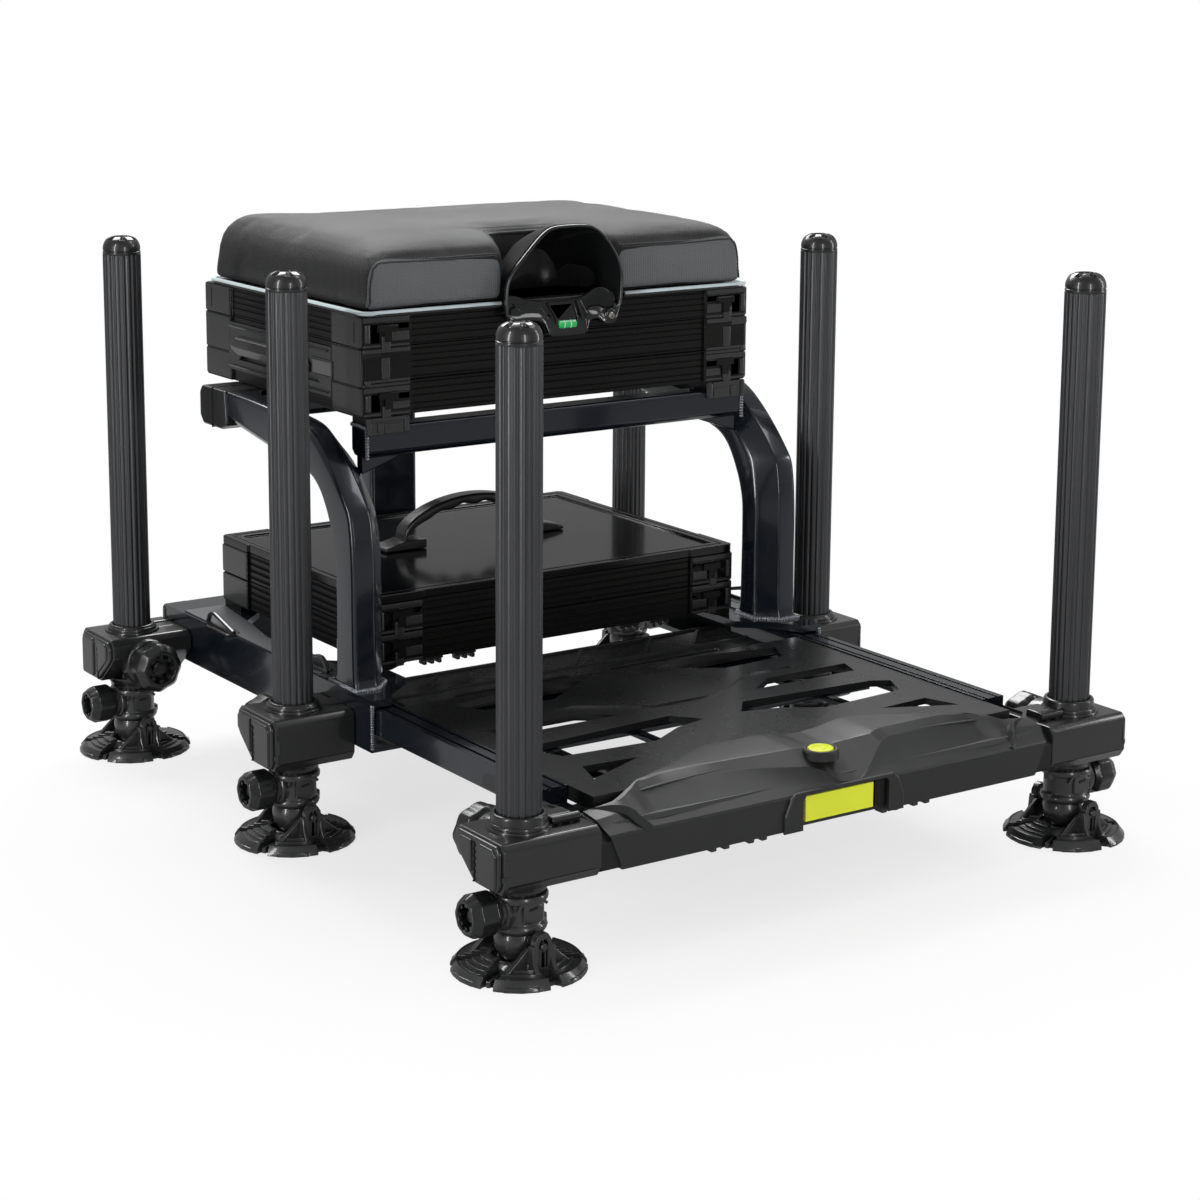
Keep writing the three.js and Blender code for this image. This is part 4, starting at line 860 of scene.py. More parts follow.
for row, (row_y, half_span, knob_way, inner) in ROWS.items():
    shell_form, groove_form = housing(knob_way, inner, FRONT_HOUSING_TOP if row == "front" else HOUSING_TOP)
    for hand, side in HANDS:
        key = f"{row}_{hand}"
        x = side * half_span

        def seat(form):
            return form.moved(x, row_y, 0)

        leg, shell = f"leg_{key}", "footplate" if row == "front" else "frame"
        drop = REAR_RIGHT_DROP if key == "rear_right" else 0
        tube = fluted_tube.form(anodised, Radius=18.0, Flute_depth=0.9, Flutes=20, Low=TUBE_LOW,
                                High=TUBE_TOP - drop)
        piece(f"fluted_tube_{key}", seat(tube), anodised, leg, [f"leg_tube_{key}"], even=False, crisp=60)
        piece(f"tube_cap_{key}", seat(cap_form.moved(z=-drop)), moulding, leg)
        piece(f"housing_{key}", seat(shell_form.on_side(side)), moulding, shell, [f"corner_housing_{key}"])
        # Near-black strip as painted shade of the groove in the end face.
        piece(f"housing_groove_{key}", seat(groove_form.on_side(side)), pit_black, shell)
        piece(f"foot_sleeve_{key}", seat(foot_clamp(side)), foot_moulding, leg, [f"foot_clamp_{key}"])
        piece(f"sleeve_slot_{key}", seat(foot_clamp_slot()), pit_black, leg)
        piece(f"ball_stem_{key}", seat(stem_form), foot_moulding, f"stem_{key}", [f"foot_stem_{key}"])
        piece(f"petal_foot_{key}", seat(pad_form), foot_moulding, f"foot_{key}", [f"foot_pad_{key}"])
        piece(f"lock_knob_{key}", seat(aimed(knob_form, toward("y", knob_way),
                                             (0, knob_way * LOCK_REACH, LOCK_HEIGHT))), knob_moulding, f"lock_{key}",
              [f"housing_knob_{key}"])
        piece(f"sleeve_knob_{key}", seat(aimed(small_knob_form, toward("x", side),
                                               (side * CLAMP_REACH, 0, CLAMP_HEIGHT))), knob_moulding, f"clamp_{key}",
              [f"clamp_knob_{key}"])


# Base, arches and cross rails

OUTER_EDGE = [(-14, 135.3), (-11, 147), (-10, 190), (-10, 230), (-9, 255), (-7, 275), (-3, 291), (7, 304),
              (20, 318), (35, 332), (50, 344), (64, 353), (82, 360), (112, 363.5), (145, 366), (190, 368),
              (235, 369)]
INNER_EDGE = [(34, 135.3), (31, 147), (30, 190), (30, 230), (31, 250), (36, 268), (42, 281), (49, 293),
              (57, 303), (68, 311), (82, 316), (98, 319), (115, 321), (130, 323), (145, 325), (190, 332),
              (235, 339)]


def arch():
    """The bent tube of the right side: a slanted face towards the front and inside, soft edges all along."""
    outer = eased([(0, *p) for p in OUTER_EDGE], 4)
    inner = eased([(0, *p) for p in INNER_EDGE], 4)
    rings = []
    for a, b in zip(outer, inner):
        depth = (b - a).length
        along = (b - a) / depth
        flat = [(247, 5), (246, 1.6), (243.4, 0.2), (228, 0), (224.6, 1), (212, depth * 0.36),
                (209.4, depth * 0.42), (209, depth * 0.48), (209, depth - 4), (210.2, depth - 1), (213, depth),
                (237, depth), (241, depth - 1.6), (245.6, depth - 6.4), (247, depth - 10)]
        rings.append([Vector((x, 0, 0)) + a + along * d for x, d in flat])
    return skin(rings)


def end_block():
    """The moulded block on the end of the right rail, and the seam round it."""
    outline = [(229, 337), (240, 332), (278, 332), (285, 340), (285, 363), (280, 369.4), (232, 369.4)]
    low, high = 209.2, 249
    shell = bar("x", outline, low, high).bevelled(2.4, 3)
    seam = bar("x", [(257.4, 331.6), (258.6, 331.6), (258.6, 369.7), (257.4, 369.7)], low - 0.3, high + 0.3)
    return shell, seam


block_shell, block_seam = end_block()
for hand, side in HANDS:
    piece(f"arch_tube_{hand}", arch().on_side(side), frame_paint, "frame", [f"seat_arch_{hand}"], crisp=50)
    piece(f"arch_end_block_{hand}", block_shell.on_side(side), moulding, "frame")
    piece(f"arch_block_seam_{hand}", block_seam.on_side(side), knob_moulding, "frame")


# Weld beads in pale metal: the beads are real, their light colour is painted glint.
welds = []
for side in (-1, 1):
    foot = [(side * 247.6, -14, 135.6), (side * 247.6, 34, 135.6), (side * 208.6, 34, 135.6),
            (side * 208.6, 4, 135.6), (side * 226, -14.6, 135.6), (side * 247.6, -14.6, 135.6)]
    welds.append(beads(foot, weld_glint_metal, 2.6, 3.6, 5.0))
    joint = [(side * 208.6, 31.6, 333), (side * 208.6, 31.6, 360), (side * 208.6, 45, 361.4),
             (side * 208.6, 58, 361)]
    welds.append(beads(joint, weld_glint_metal, 2.6, 3.6, 4.4))
    for y in (-45.6, 372):
        welds.append(beads([(side * 249.6, y, z) for z in (92, 130)], weld_glint_metal, 2.2, 2.6, 4.0))
piece("weld_beads", joined(*welds), weld_glint_metal, "frame", even=False, crisp=180)


def strap_loop(x, y, rearward):
    """A flat tongue on a base plate with a low upright ring on it, its peak towards one end."""
    ring = [(-29, 0), (29, 0), (30, 3), (25, 11), (18, 14.4), (11, 14.4), (-27, 4.6)]
    hole = [(-19, 3.4), (24.6, 3.4), (21, 9), (17, 10.8), (12, 10.8)]
    loop = plate([(a * rearward, b) for a, b in ring][::rearward], [[(a * rearward, b) for a, b in hole][::rearward]],
                 -2, 2, 1.3).through(TURNS["-y"]).turned(90, "Z")
    tongue = plate(rounded(-6, 10, -24, 24, 5, 4), [], 134.8, 137, 0.8)
    return joined(tongue, loop.moved(z=136)).moved(x, y, 0)


piece("strap_loops", both(strap_loop(-250.4, 246, 1) + strap_loop(-240, 80, -1)), moulding, "frame")
top_plate = [(-247, 333), (-204, 333), (-206, 318), (-215, 251), (-226, 197), (-226, 120), (-216, 70), (-216, 42),
             (-247, 42)]
piece("base_top_plates", both(plate(top_plate[::-1], [], 134.9, 136.2, 0.5)), plate_satin, "frame")
piece("rail_end_caps", both(bar("y", rounded(222, 251, 87, 134.4, 4, 3), 371, 376).bevelled(1.2, 2)), moulding, "frame")


# Boxes

FACES = {"-y": Matrix(((1, 0, 0), (0, 0, -1), (0, 1, 0))), "y": Matrix(((-1, 0, 0), (0, 0, 1), (0, 1, 0))),
         "-x": Matrix(((0, 0, -1), (-1, 0, 0), (0, 1, 0))), "x": Matrix(((0, 0, 1), (1, 0, 0), (0, 1, 0)))}


def on_face(form, way, at):
    """A form drawn as (across, up, out), put on a face that looks along way."""
    return form.through(Matrix.Translation(at) @ FACES[way].to_4x4())


def slab(across, up, out, soft=0.7):
    """A small raised block of a casting, with bevelled edges."""
    made = block((across[0], up[0], out[0]), (across[1], up[1], out[1]))
    return made.bevelled(soft, 2) if soft else made


def slabs(*rows):
    """Several slabs. A row is its across, up and out, each from and to, and how soft its edges are."""
    return joined(*[slab(row[:2], row[2:4], row[4:6], *row[6:]) for row in rows])


def tongue_catch(low, high):
    """One tier of a corner: a bright bevelled edge, an L-shaped pit and the tongue of its catch."""
    return slabs(
        (2, 49, high - 5.2, high - 0.4, -2, 2.4), (3, 8.4, low + 4, high - 6.6, -2, 3.6, 1.7),
        (9, 19, low + 3.4, high - 6, -2, 2), (18, 49, high - 12.4, high - 6, -2, 2),
        (31, 48.6, low + 5.2, high - 14, -2, 2.6, 0.9), (2, 49, low + 0.2, low + 2.8, -2, 2.2),
        (19.8, 29, low - 2.6, high - 17.4, -2, 3.6, 1.2), (24, 48, high - 5.9, high - 5.3, -1, 2.9, 0))


def pocket_catch(low, high):
    """One tier of a corner: an overhanging ledge above two pockets with a bar between them."""
    wedge = bar("x", [(high - 4, 3.2), (high - 4, -1), (high - 11.6, -1), (high - 11.6, 0.4)], 1, 19)
    return wedge + slabs(
        (1, 49, high - 4.2, high, -2, 3.4, 1.0), (1, 49, low, low + 2.8, -2, 2.4),
        (2, 49, low + 3.4, low + 6.2, -2, 2.8), (3, 8, low + 0.4, low + 6, -2, 3.8, 1.4),
        (19.8, 28.8, low + 6, high - 8.4, -2, 2.8, 1.2), (13, 16.6, low + 6.4, high - 9, -2, 1.8, 1.2),
        (30, 48.6, low + 8.4, high - 12, -2, 0.9, 0.8), (44.6, 49, low + 5, high - 5, -2, 1.6, 0.8))


def hanging_clip(low, high):
    """The clip below a corner that holds the box to the rail."""
    return slabs((3, 47, low, high, -1.6, 1.4, 0.9), (3, 7.4, low, high, -1, 3, 1.2),
                 (41, 46.4, low + 1, high - 1, -1, 2.8, 1.2), (8, 41, high - 4, high, -1, 2.6, 0.8),
                 (14, 20, low + 2, high - 5, -1, 2.4, 0.8), (21.4, 40, low + 1, high - 6, -1, 2.2, 0.8))


def corner_casting(half_width, front_y, rear_y, tiers, side_slot=False):
    """The moulded corners of a box: a plain block for each tier, and its catches on front and back."""
    made = []
    for sx in (-1, 1):
        for y, sy in ((front_y, 1), (rear_y, -1)):
            for low, high, kind in tiers:
                x0, x1 = sx * (half_width + 2.2), sx * (half_width - 48)
                near = sx * (half_width - 6)
                outline = [(x0, y - sy * 0.4), (x1, y - sy * 0.4), (x1, y + sy * 6), (near, y + sy * 6),
                           (near, y + sy * 52), (x0, y + sy * 52)]
                made.append(bar("z", outline, low + 0.4, high - 0.4).bevelled(1.2, 2))
                catch = kind(low, high)
                catch = catch.moved(x=-half_width - 1.6) if sx * sy < 0 else catch.moved(x=-half_width - 1.6).mirrored()
                made.append(on_face(catch, toward("y", -sy), (0, y, 0)))
                if side_slot and kind is tongue_catch:
                    made.append(block((sx * (half_width + 2.1), y + sy * 10, low + 5),
                                      (sx * (half_width + 2.6), y + sy * 13.6, high - 5)))
    return joined(*made)


def strip_bands(half_width, front_y, rear_y, bands, sides=("-y", "y", "x", "-x")):
    """The extruded strips between the corners. A band is its lowest and highest point and its ribs."""
    long, deep = 2 * half_width - 96, rear_y - front_y - 104
    middle_y = (front_y + rear_y) / 2
    made = []
    for low, high, count, depth in bands:
        pitch = (high - low) / count
        for way in sides:
            at = {"-y": (0, front_y, low + pitch / 2), "y": (0, rear_y, low + pitch / 2),
                  "x": (half_width, middle_y, low + pitch / 2), "-x": (-half_width, middle_y, low + pitch / 2)}[way]
            made.append(ribs(long if "y" in way else deep, count, pitch, pitch - 0.3, depth, way, at))
    return joined(*made)


# Half width, front face and rear face of the drawer unit and tray, and of the carry case.
BOX = (212, 33, 339)
CASE = (200, 34, 338)

piece("drawer_unit_strips", strip_bands(*BOX, ((409, 431, 4, 0.45), (383, 406.6, 4, 0.45), (371.4, 381.4, 2, 0.45)),
                                        ("-y", "y", "x")), strip_anodised, "frame")
piece("drawer_unit_corners", corner_casting(*BOX, ((370.6, 396.8, tongue_catch), (397.2, 431.2, pocket_catch))),
      casting, "frame")
piece("tray_strips", strip_bands(*BOX, ((437.4, 459.4, 4, 0.45), (432.2, 435.4, 1, 0.45))), strip_anodised, "frame")
piece("tray_corners", corner_casting(*BOX, ((432, 459.8, tongue_catch),), True), casting, "frame")
piece("corner_clips", both(on_face(hanging_clip(353.6, 369.6).moved(x=-213), "-y", (0, 31, 0))), casting, "frame")
grip_base = [(284, 406), (270, 415), (142, 415), (128, 406), (128, 401), (140, 396), (270, 396), (284, 400)]
grip_face = [(277, 407), (267, 413), (145, 413), (135, 407), (135, 405.6), (142, 404.4), (268, 404.4), (277, 405.6)]
grip = skin([[(x, y, z) for y, z in ring] for x, ring in ((-212, grip_base), (-214.6, grip_base), (-219.6, grip_face))])
latch_pocket = slabs((-121, -83, 398, 400, -1, 1.6), (-121, -83, 413, 415, -1, 1.6),
                     (-85, -83, 398, 415, -1, 1.6), (-121, -119, 398, 415, -1, 1.6))
piece("drawer_grip", joined(grip.bevelled(0.7, 2), on_face(latch_pocket, "-x", (-214, 0, 0)),
                            ribs(194, 1, 6, 5.2, 1.6, "-x", (-214, 189, 385)),
                            ribs(194, 1, 6, 5.2, 1.6, "-x", (-214, 189, 423))), casting, "side_drawer")
ramp = skin([[(-214.2, 119, z), (-215.4, 119, z), (-214.2, 86, z)] for z in (400.4, 412.6)])
piece("drawer_latch_ramp", ramp, latch_grey, "side_drawer")

piece("case_strips", strip_bands(*CASE, ((142, 168, 4, 0.6), (171, 197.2, 4, 0.6))), strip_anodised, "carry_case")
piece("case_corners", corner_casting(*CASE, ((141, 169, tongue_catch), (169.6, 197.6, tongue_catch))), casting,
      "carry_case")
# A thin near-black ring laid on the lid: painted shade where a dark line runs round its panel.
lid_edge = [[(sx * (202 - inset), y) for sx, y in (
    (-1, 32 + inset), (1, 32 + inset), (1, 340 - inset), (-1, 340 - inset))] for inset in (8, 8.9)]
piece("case_lid_line", plate(lid_edge[0], [lid_edge[1]], 205.6, 206.4, 0.1), pit_black, "carry_case_lid")
prongs = []
for x in (-128, -92, 96, 132):
    for y in (60, 300):
        prongs.append(slab((x - 12, x + 12), (y - 4, y + 4), (131.4, 135.8), 1.2))
        prongs += [slab((x + dx - 2, x + dx + 2), (y - 5, y + 5), (127.4, 132), 1.2) for dx in (-8, 0, 8)]
piece("case_under_clips", joined(*prongs), casting, "carry_case")


def carry_handle():
    rings = []
    steps = 72
    for i in range(steps + 1):
        share = i / steps
        x = 80 * (2 * share - 1)
        rise = 34 * math.sqrt(max(0.0, math.sin(share * math.pi)))
        finger = 3 * math.sin(share * 6 * math.pi) ** 2 * math.sin(share * math.pi)
        top = 206.5 + rise + 11
        low = top - 11 + finger
        rings.append([(x, 197 + y, z) for y, z in rounded(-10, 10, low, top, 3.4, 4)])
    foot = bar("y", [(57, 204.4), (103, 204.4), (103, 208.4), (82, 213.4), (57, 213.4)], 184, 210).bevelled(1.6, 3)
    return skin(rings) + both(foot)


piece("carry_bow", carry_handle(), moulding, "carry_case_lid", ["carry_handle"])


# Footplate

COVER_HALF = 237
# X, shoulder Y and Z, top Z and rear edge Y of the cover: the ends, which are alike, and the middle.
COVER_END = [(124, -351, 127, 132, -317), (148, -349, 126, 131, -327), (174, -354, 121, 129.4, -338),
             (190, -364, 118, 126.4, -345), (208, -367, 117, 121, -351), (COVER_HALF, -370, 116, 118.5, -351)]
COVER_MIDDLE = [(-76, -355, 126, 132.5, -298), (-24, -366, 122, 132.5, -300), (-10, -372, 118, 131.5, -301),
                (2, -381, 108.6, 129, -301), (19, -382.4, 107.2, 128.4, -301), (36, -374, 113, 129.6, -301),
                (66, -357, 127, 132.5, -298), (78, -353, 128, 132.5, -298)]
COVER_STATIONS = [(-x, *rest) for x, *rest in COVER_END[::-1]] + COVER_MIDDLE + COVER_END
WELL_LEFT, WELL_RIGHT = -41, 50


def cover_station(x):
    """Shoulder Y and Z, top Z and rear edge Y of the cover at a place along it."""
    far = max(0.001 - COVER_HALF, min(x, COVER_HALF - 0.001))
    for a, b in zip(COVER_STATIONS, COVER_STATIONS[1:]):
        if a[0] <= far < b[0]:
            share = (far - a[0]) / (b[0] - a[0])
            share = share * share * (3 - 2 * share) * 0.3 + share * 0.7
            return [p + (q - p) * share for p, q in zip(a[1:], b[1:])]


def cover_section(x, in_well):
    """One closed section: front wall, crease, scooped slope, brow, top, and the hollow over the beam."""
    shoulder, rise, top, rear = cover_station(x)
    under = min(128.4, top - 4.2) if top > 124 else 113
    wall = -377.2 if in_well else -384
    low = [(wall + 2, 76), (wall + 0.6, 76.8), (wall, 79), (wall, 90), (wall, 101.6), (-384, 104.4), (-382.6, 106.2)]
    slope = []
    for share in (0.2, 0.4, 0.6, 0.8):
        y, z = -382.6 + (shoulder + 382.6) * share, 106.2 + (rise - 106.2) * share
        slope.append((y, z - 0.7 * math.sin(share * math.pi)))
    back = shoulder + max(13.6, (top - rise) * 1.9)
    brow = [(shoulder, rise), (shoulder + 1.3, rise + 0.5), (back - 2, top - 0.3), (back, top)]
    roof = [((back + rear) / 2, top + 0.3), (rear - 2.4, top), (rear - 2.2, top - 0.1), (rear - 0.1, top - 2.1),
            (rear, top - 2.4), (rear, under)]
    hollow = [(-350, under), (-350, 112.8), (-373, 112.8), (-376.4, 109.6), (-376.4, 76)]
    cut = COVER_HALF - abs(x)
    ring = []
    for y, z in low + slope + brow + roof + hollow:
        lean = max(0.0, 122 - z) * 0.42 * max(0.0, 1 - cut / 60)
        ring.append((x - math.copysign(lean, x), y, z))
    return ring


def front_cover():
    marks = sorted({*range(-COVER_HALF, COVER_HALF + 1, 3), WELL_LEFT, WELL_RIGHT})
    rings = []
    for x in marks:
        if x == WELL_LEFT:
            rings += [cover_section(x - 0.05, False), cover_section(x, True)]
        elif x == WELL_RIGHT:
            rings += [cover_section(x, True), cover_section(x + 0.05, False)]
        else:
            rings.append(cover_section(x, WELL_LEFT < x < WELL_RIGHT))
    made = [skin(rings)]
    for side in (-1, 1):
        fin = eased([(side * 231, -352, 117.6), (side * 214, -360, 120.4), (side * 203, -369, 119.4),
                     (side * 197, -377, 113), (side * 190, -383, 106)], 5)
        made.append(swept(fin, [(-3.4, -4), (-1.2, 1.2), (0.6, 1.6), (4.6, -2.4), (4.6, -4)]))
    yoke = [(-60, 75.4), (-60, 90), (-54, 104), (-48, 108.4), (54, 108.4), (60, 104), (66, 90), (66, 75.4),
            (WELL_RIGHT, 75.4), (WELL_RIGHT, 101), (WELL_RIGHT - 3, 105), (WELL_LEFT + 3, 105), (WELL_LEFT, 101),
            (WELL_LEFT, 75.4)]
    made.append(upright(plate(yoke[::-1], [], 0, 4.2, 1.3), -382.8))
    seat_ring = lathe([(11.2, 124), (15.6, 124), (15.6, 130.4), (14.2, 131.8), (12.2, 131.8), (11.2, 131)], 48,
                      loop=True)
    made.append(seat_ring.moved(-1, -357, 0))
    return joined(*made)


piece("front_cover", front_cover(), cover_moulding, "footplate", ["beam_cover"], crisp=16)
piece("pull_latch", bar("x", rounded(-382, -378, 80, 103.6, 1, 2), 38.5, 49).bevelled(0.6, 1), pit_black, "footplate")

level = lathe([(0, 128), (10.4, 128), (10.9, 128.6), (10.9, 132.8), (9.8, 133.6), (6.4, 133.4), (6, 132.6), (5, 132.6),
               (4.6, 133.3), (0, 133.6)], 40)
spokes = teeth(3, 7.6, 3.2, 1.2, 1.2).moved(z=133.4)
piece("round_level", (level + spokes).moved(-1, -357, -1), lime, "footplate")

rear_deck = plate(rounded(-202, 202, -50, 60, 5, 3), [rounded(-150, -20, -26, -14, 5, 3)[::-1],
                                                      rounded(20, 150, -26, -14, 5, 3)[::-1]], 111, 117.6, 1.2)
rear_ribs = [slab((-200, 200), (y, y + 3.4), (116, 119.4), 1) for y in (-40, 2, 52)]
rear_ribs += [bar("z", [(x, 4), (x + 40, 50), (x + 46, 50), (x + 6, 4)], 117, 119).bevelled(0.6, 1)
              for x in (-170, -90, -10, 70, 130)]
# Thin pale strips of anodised metal on the outer faces of the footplate rails: a painted reflection.
reflection_patch_outline = [(-336, 105.5), (-336, 118), (-228, 118), (-222, 114), (-222, 108), (-225, 105.5)]
piece("rail_pads", both(bar("x", reflection_patch_outline, 245.4, 246.15)), anodised, "footplate")
piece("deck_rear_panel", joined(rear_deck, *rear_ribs), deck_moulding, "footplate")
slats = [slab((-200, 200), (-336 + 84 * i, -302 + 84 * i), (104, 106.4), 0.8) for i in range(4)]
slats += [slab((x - 5, x + 5), (-340, -52), (106, 111), 1) for x in (-150, -60, 60, 150)]
slats += [slab((-202, 202), (y, y + 7), (108, 113.4), 1) for y in (-318, -248, -180, -112)]
piece("deck_under_frame", joined(*slats), frame_paint, "footplate")
beam_prongs = []
for x in (-118, -80, 60, 94):
    beam_prongs += [slab((x - 14, x + 14), (-378, -366), (77, 81.6), 1),
                    *[slab((x + dx - 3, x + dx + 3), (-379, -368), (71.4, 78), 1.4) for dx in (-8, 5)]]
piece("beam_under_clips", joined(*beam_prongs), casting, "footplate")
sleeve_outline = [(-380, 77.4), (-382.6, 80), (-382.8, 101), (-367.6, 115), (-352, 117), (-351, 77.4)]
piece("beam_sleeves", both(bar("x", sleeve_outline, 205, 238)), pit_black, "footplate")


# Seat

def seat_outline(inset, corner=13, steps=6, notch_inset=None):
    """The cushion seen from above, with the notch in its front edge."""
    w, front, rear = 212.5 - inset, 28.5 + inset, 333.5 - inset
    cut = inset if notch_inset is None else notch_inset
    left, right, notch_y, lip = -65 - cut * 0.4, 63 + cut * 0.4, 100 + cut, 26
    back_left, back_right = -39 - cut * 0.7, 33 + cut * 0.7
    radius = max(corner - inset * 0.5, 4)
    ring = []

    def turn(cx, cy, start, end, r, count):
        for i in range(count + 1):
            angle = start + (end - start) * i / count
            ring.append((cx + r * math.cos(angle), cy + r * math.sin(angle)))

    q = math.pi / 2
    turn(w - radius, rear - radius, 0, q, radius, steps)
    turn(-w + radius, rear - radius, q, 2 * q, radius, steps)
    turn(-w + radius, front + radius, 2 * q, 3 * q, radius, steps)
    ring.append((left - 4, front))
    ring.append((left, front + 4))
    turn(back_left + lip, notch_y - lip, 2 * q - 0.3, q, lip, steps)
    turn(back_right - lip, notch_y - lip, q, 0.3, lip, steps)
    ring.append((right, front + 4))
    ring.append((right + 4, front))
    turn(w - radius, front + radius, 3 * q, 4 * q, radius, steps)
    return ring


def cushion_start():
    """A slightly smaller cushion, which the simulation then fills out."""
    levels = [(464.8, 2.6, 2, 6), (468, 2.2, 1.6, 6), (482, 1.8, 1.6, 7), (497, 2.0, 2, 10), (506, 4.0, 2.6, 15),
              (512, 7.6, 4, 20), (515.6, 13, 6, 25), (517.4, 20, 9, 30)]
    return skin([[(x, y, z) for x, y in seat_outline(inset, corner, 6, cut)] for z, inset, cut, corner in levels])


# In metres: how far the cushion may reach, how far the cloth may carry a point, the width of the
# remesh's cells, the height above which the top swells, and the place of the bulge at its left rear.
CUSHION_X, CUSHION_Y, CUSHION_Z = (-0.2165, 0.2165), (0.0262, 0.3375), (0.4646, 0.5265)
CLOTH_SHIFT, CELL, TOP_ZONE, TOP_RISE = 0.006, 0.005, 0.5, 0.004
BULGE_X, BULGE_Y, BULGE_SPREAD = -0.178, 0.29, 0.0022
CLOTH_PRESSURE, CLOTH_STEPS = 4, 20


def held(value, limits):
    """A value kept between its lowest and its highest."""
    return min(limits[1], max(limits[0], value))


def filled_out(form):
    """Cloth filled by pressure, kept close to the start shape and flat where it rests."""
    source = added("cushion_start", mesh_of("cushion_start", form))
    remesh = source.modifiers.new("voxels", "REMESH")
    remesh.mode = "VOXEL"
    remesh.voxel_size = CELL
    bpy.context.view_layer.update()
    mesh = evaluated(source)
    bpy.data.objects.remove(source)
    start = [v.co.copy() for v in mesh.vertices]
    moved = start
    pad = added("cushion_cloth", mesh)
    cloth = pad.modifiers.new("cloth", "CLOTH")
    cloth.settings.quality = 5
    cloth.settings.use_pressure = True
    cloth.settings.uniform_pressure_force = CLOTH_PRESSURE
    cloth.settings.effector_weights.gravity = 0
    for step in range(1, CLOTH_STEPS + 1):
        bpy.context.scene.frame_set(step)
    swollen = evaluated(pad)
    moved = [v.co.copy() for v in swollen.vertices]
    bpy.context.scene.frame_set(1)
    bpy.data.objects.remove(pad)
    mesh = swollen
    for vertex, a, b in zip(mesh.vertices, start, moved):
        shift = (b - a) * (0.2 + 0.8 * min(1, max(0, (a.z - 0.467) / 0.03)))
        if shift.length > CLOTH_SHIFT:
            shift = shift.normalized() * CLOTH_SHIFT
        p = a + shift
        if p.z > TOP_ZONE:
            across = math.cos(min(1, abs(p.x) / 0.213) * math.pi / 2)
            deep = math.sin(min(1, max(0, (p.y - 0.028) / 0.306)) * math.pi)
            bulge = math.exp(-((p.x - BULGE_X) ** 2 + (p.y - BULGE_Y) ** 2) / BULGE_SPREAD)
            p.z += TOP_RISE * (across * deep + bulge * min(1, (p.z - TOP_ZONE) / 0.016))
        vertex.co = (held(p.x, CUSHION_X), held(p.y, CUSHION_Y), held(p.z, CUSHION_Z))
    return mesh


def panel_edge(p):
    """Distance of a point of the front face outside the grey panel, in metres."""
    dx, dz = max(abs(p.x) - PANEL_SIDE + PANEL_CORNER, 0), max(p.z - PANEL_TOP + PANEL_CORNER, 0)
    return math.hypot(dx, dz) - PANEL_CORNER if dx or dz else max(abs(p.x) - PANEL_SIDE, p.z - PANEL_TOP)


SEAM_DEPTH, SEAM_WIDTH = 0.0011, 0.0022
HEM_DEPTH, HEM_WIDTH, HEM_Z = 0.0016, 0.0018, 0.4652


def sewn(mesh):
    """Draws the seams in: round the grey panels and above the piping."""
    for vertex in mesh.vertices:
        p = vertex.co
        if p.y < 0.042 and abs(p.x) > PANEL_INNER:
            depth = SEAM_DEPTH * math.exp(-(panel_edge(p) / SEAM_WIDTH) ** 2)
            p.y += depth
            p.z -= depth * 0.5 if p.z > 0.505 else 0
        hem = math.exp(-((p.z - HEM_Z) / HEM_WIDTH) ** 2) * HEM_DEPTH
        p.x -= math.copysign(hem, p.x) if abs(p.x) > 0.2 else 0
        p.y += hem if p.y < 0.04 else (-hem if p.y > 0.325 else 0)
    return mesh


cushion_mesh = sewn(filled_out(cushion_start()))
surface = BVHTree.FromPolygons([v.co.copy() for v in cushion_mesh.vertices],
                               [list(p.vertices) for p in cushion_mesh.polygons])
cushion = dress("padded_seat", cushion_mesh, seat_cloth, "seat_lid", ["seat_cushion"], crisp=180, even=False)
round_off = cushion.modifiers.new("round_off", "SUBSURF")
round_off.levels = round_off.render_levels = 1


def on_cushion(points, lift=0.25):
    """Points in millimetres laid on the cushion's surface."""
    laid = []
    for point in points:
        spot, normal, _, _ = surface.find_nearest(Vector(point) * MM)
        laid.append((spot + normal * lift * MM) / MM)
    return laid


def panel_seam(side, grow):
    """The line round the outer and upper edge of a grey panel."""
    x, top, r = PANEL_SIDE / MM + grow, PANEL_TOP / MM + grow, PANEL_CORNER / MM + grow
    line = [(side * x, 27, 468 + 3 * i) for i in range(int((top - r - 468) // 3) + 1)]
    for i in range(13):
        angle = math.pi / 2 * i / 12
        line.append((side * (x - r + r * math.cos(angle)), 27, top - r + r * math.sin(angle)))
    inner = 66 if side < 0 else 64
    while x - r - 3 > inner:
        r += 3
        line.append((side * (x - r), 27, top))
    return line


seams, stitches = [], []
for side in (-1, 1):
    seams.append(swept(on_cushion(panel_seam(side, 0), 0.1), round_section(0.75, 6)))
    stitches.append(beads(on_cushion(panel_seam(side, 3.2)), thread, 3.4, 2.4, 0.75))
for grow in (0, 5):
    brow = [(x, y, 524) for x, y in seat_outline(0, notch_inset=12 + grow) if abs(x) < 90 and 50 < y < 160]
    stitches.append(beads(on_cushion(eased(brow, 3)), thread, 3.4, 2.4, 0.75))
piece("seat_seams", joined(*seams), seat_black, "seat_lid", crisp=180, even=False)
piece("seat_stitches", joined(*stitches), thread, "seat_lid", crisp=180, even=False)
welt_line = [(x, y, 518) for x, y in seat_outline(0, notch_inset=8) if abs(x) < 90 and 40 < y < 150]
piece("notch_welt", swept(on_cushion(eased(welt_line, 3), 0.2), round_section(1.7, 8)), seat_black, "seat_lid",
      crisp=180, even=False)


edge = [(x, y, 463.2) for x, y in seat_outline(1.2, 7, 8)]
first = next(i for i, p in enumerate(edge) if p[0] > 60 and p[1] < 60)
line = [p for p in edge[first:] + edge[:first] if not (abs(p[0]) < 67 and p[1] < 140)]
piece("edge_piping", swept(line, round_section(2.0, 10)), piping_white, "seat_lid", crisp=180, even=False)

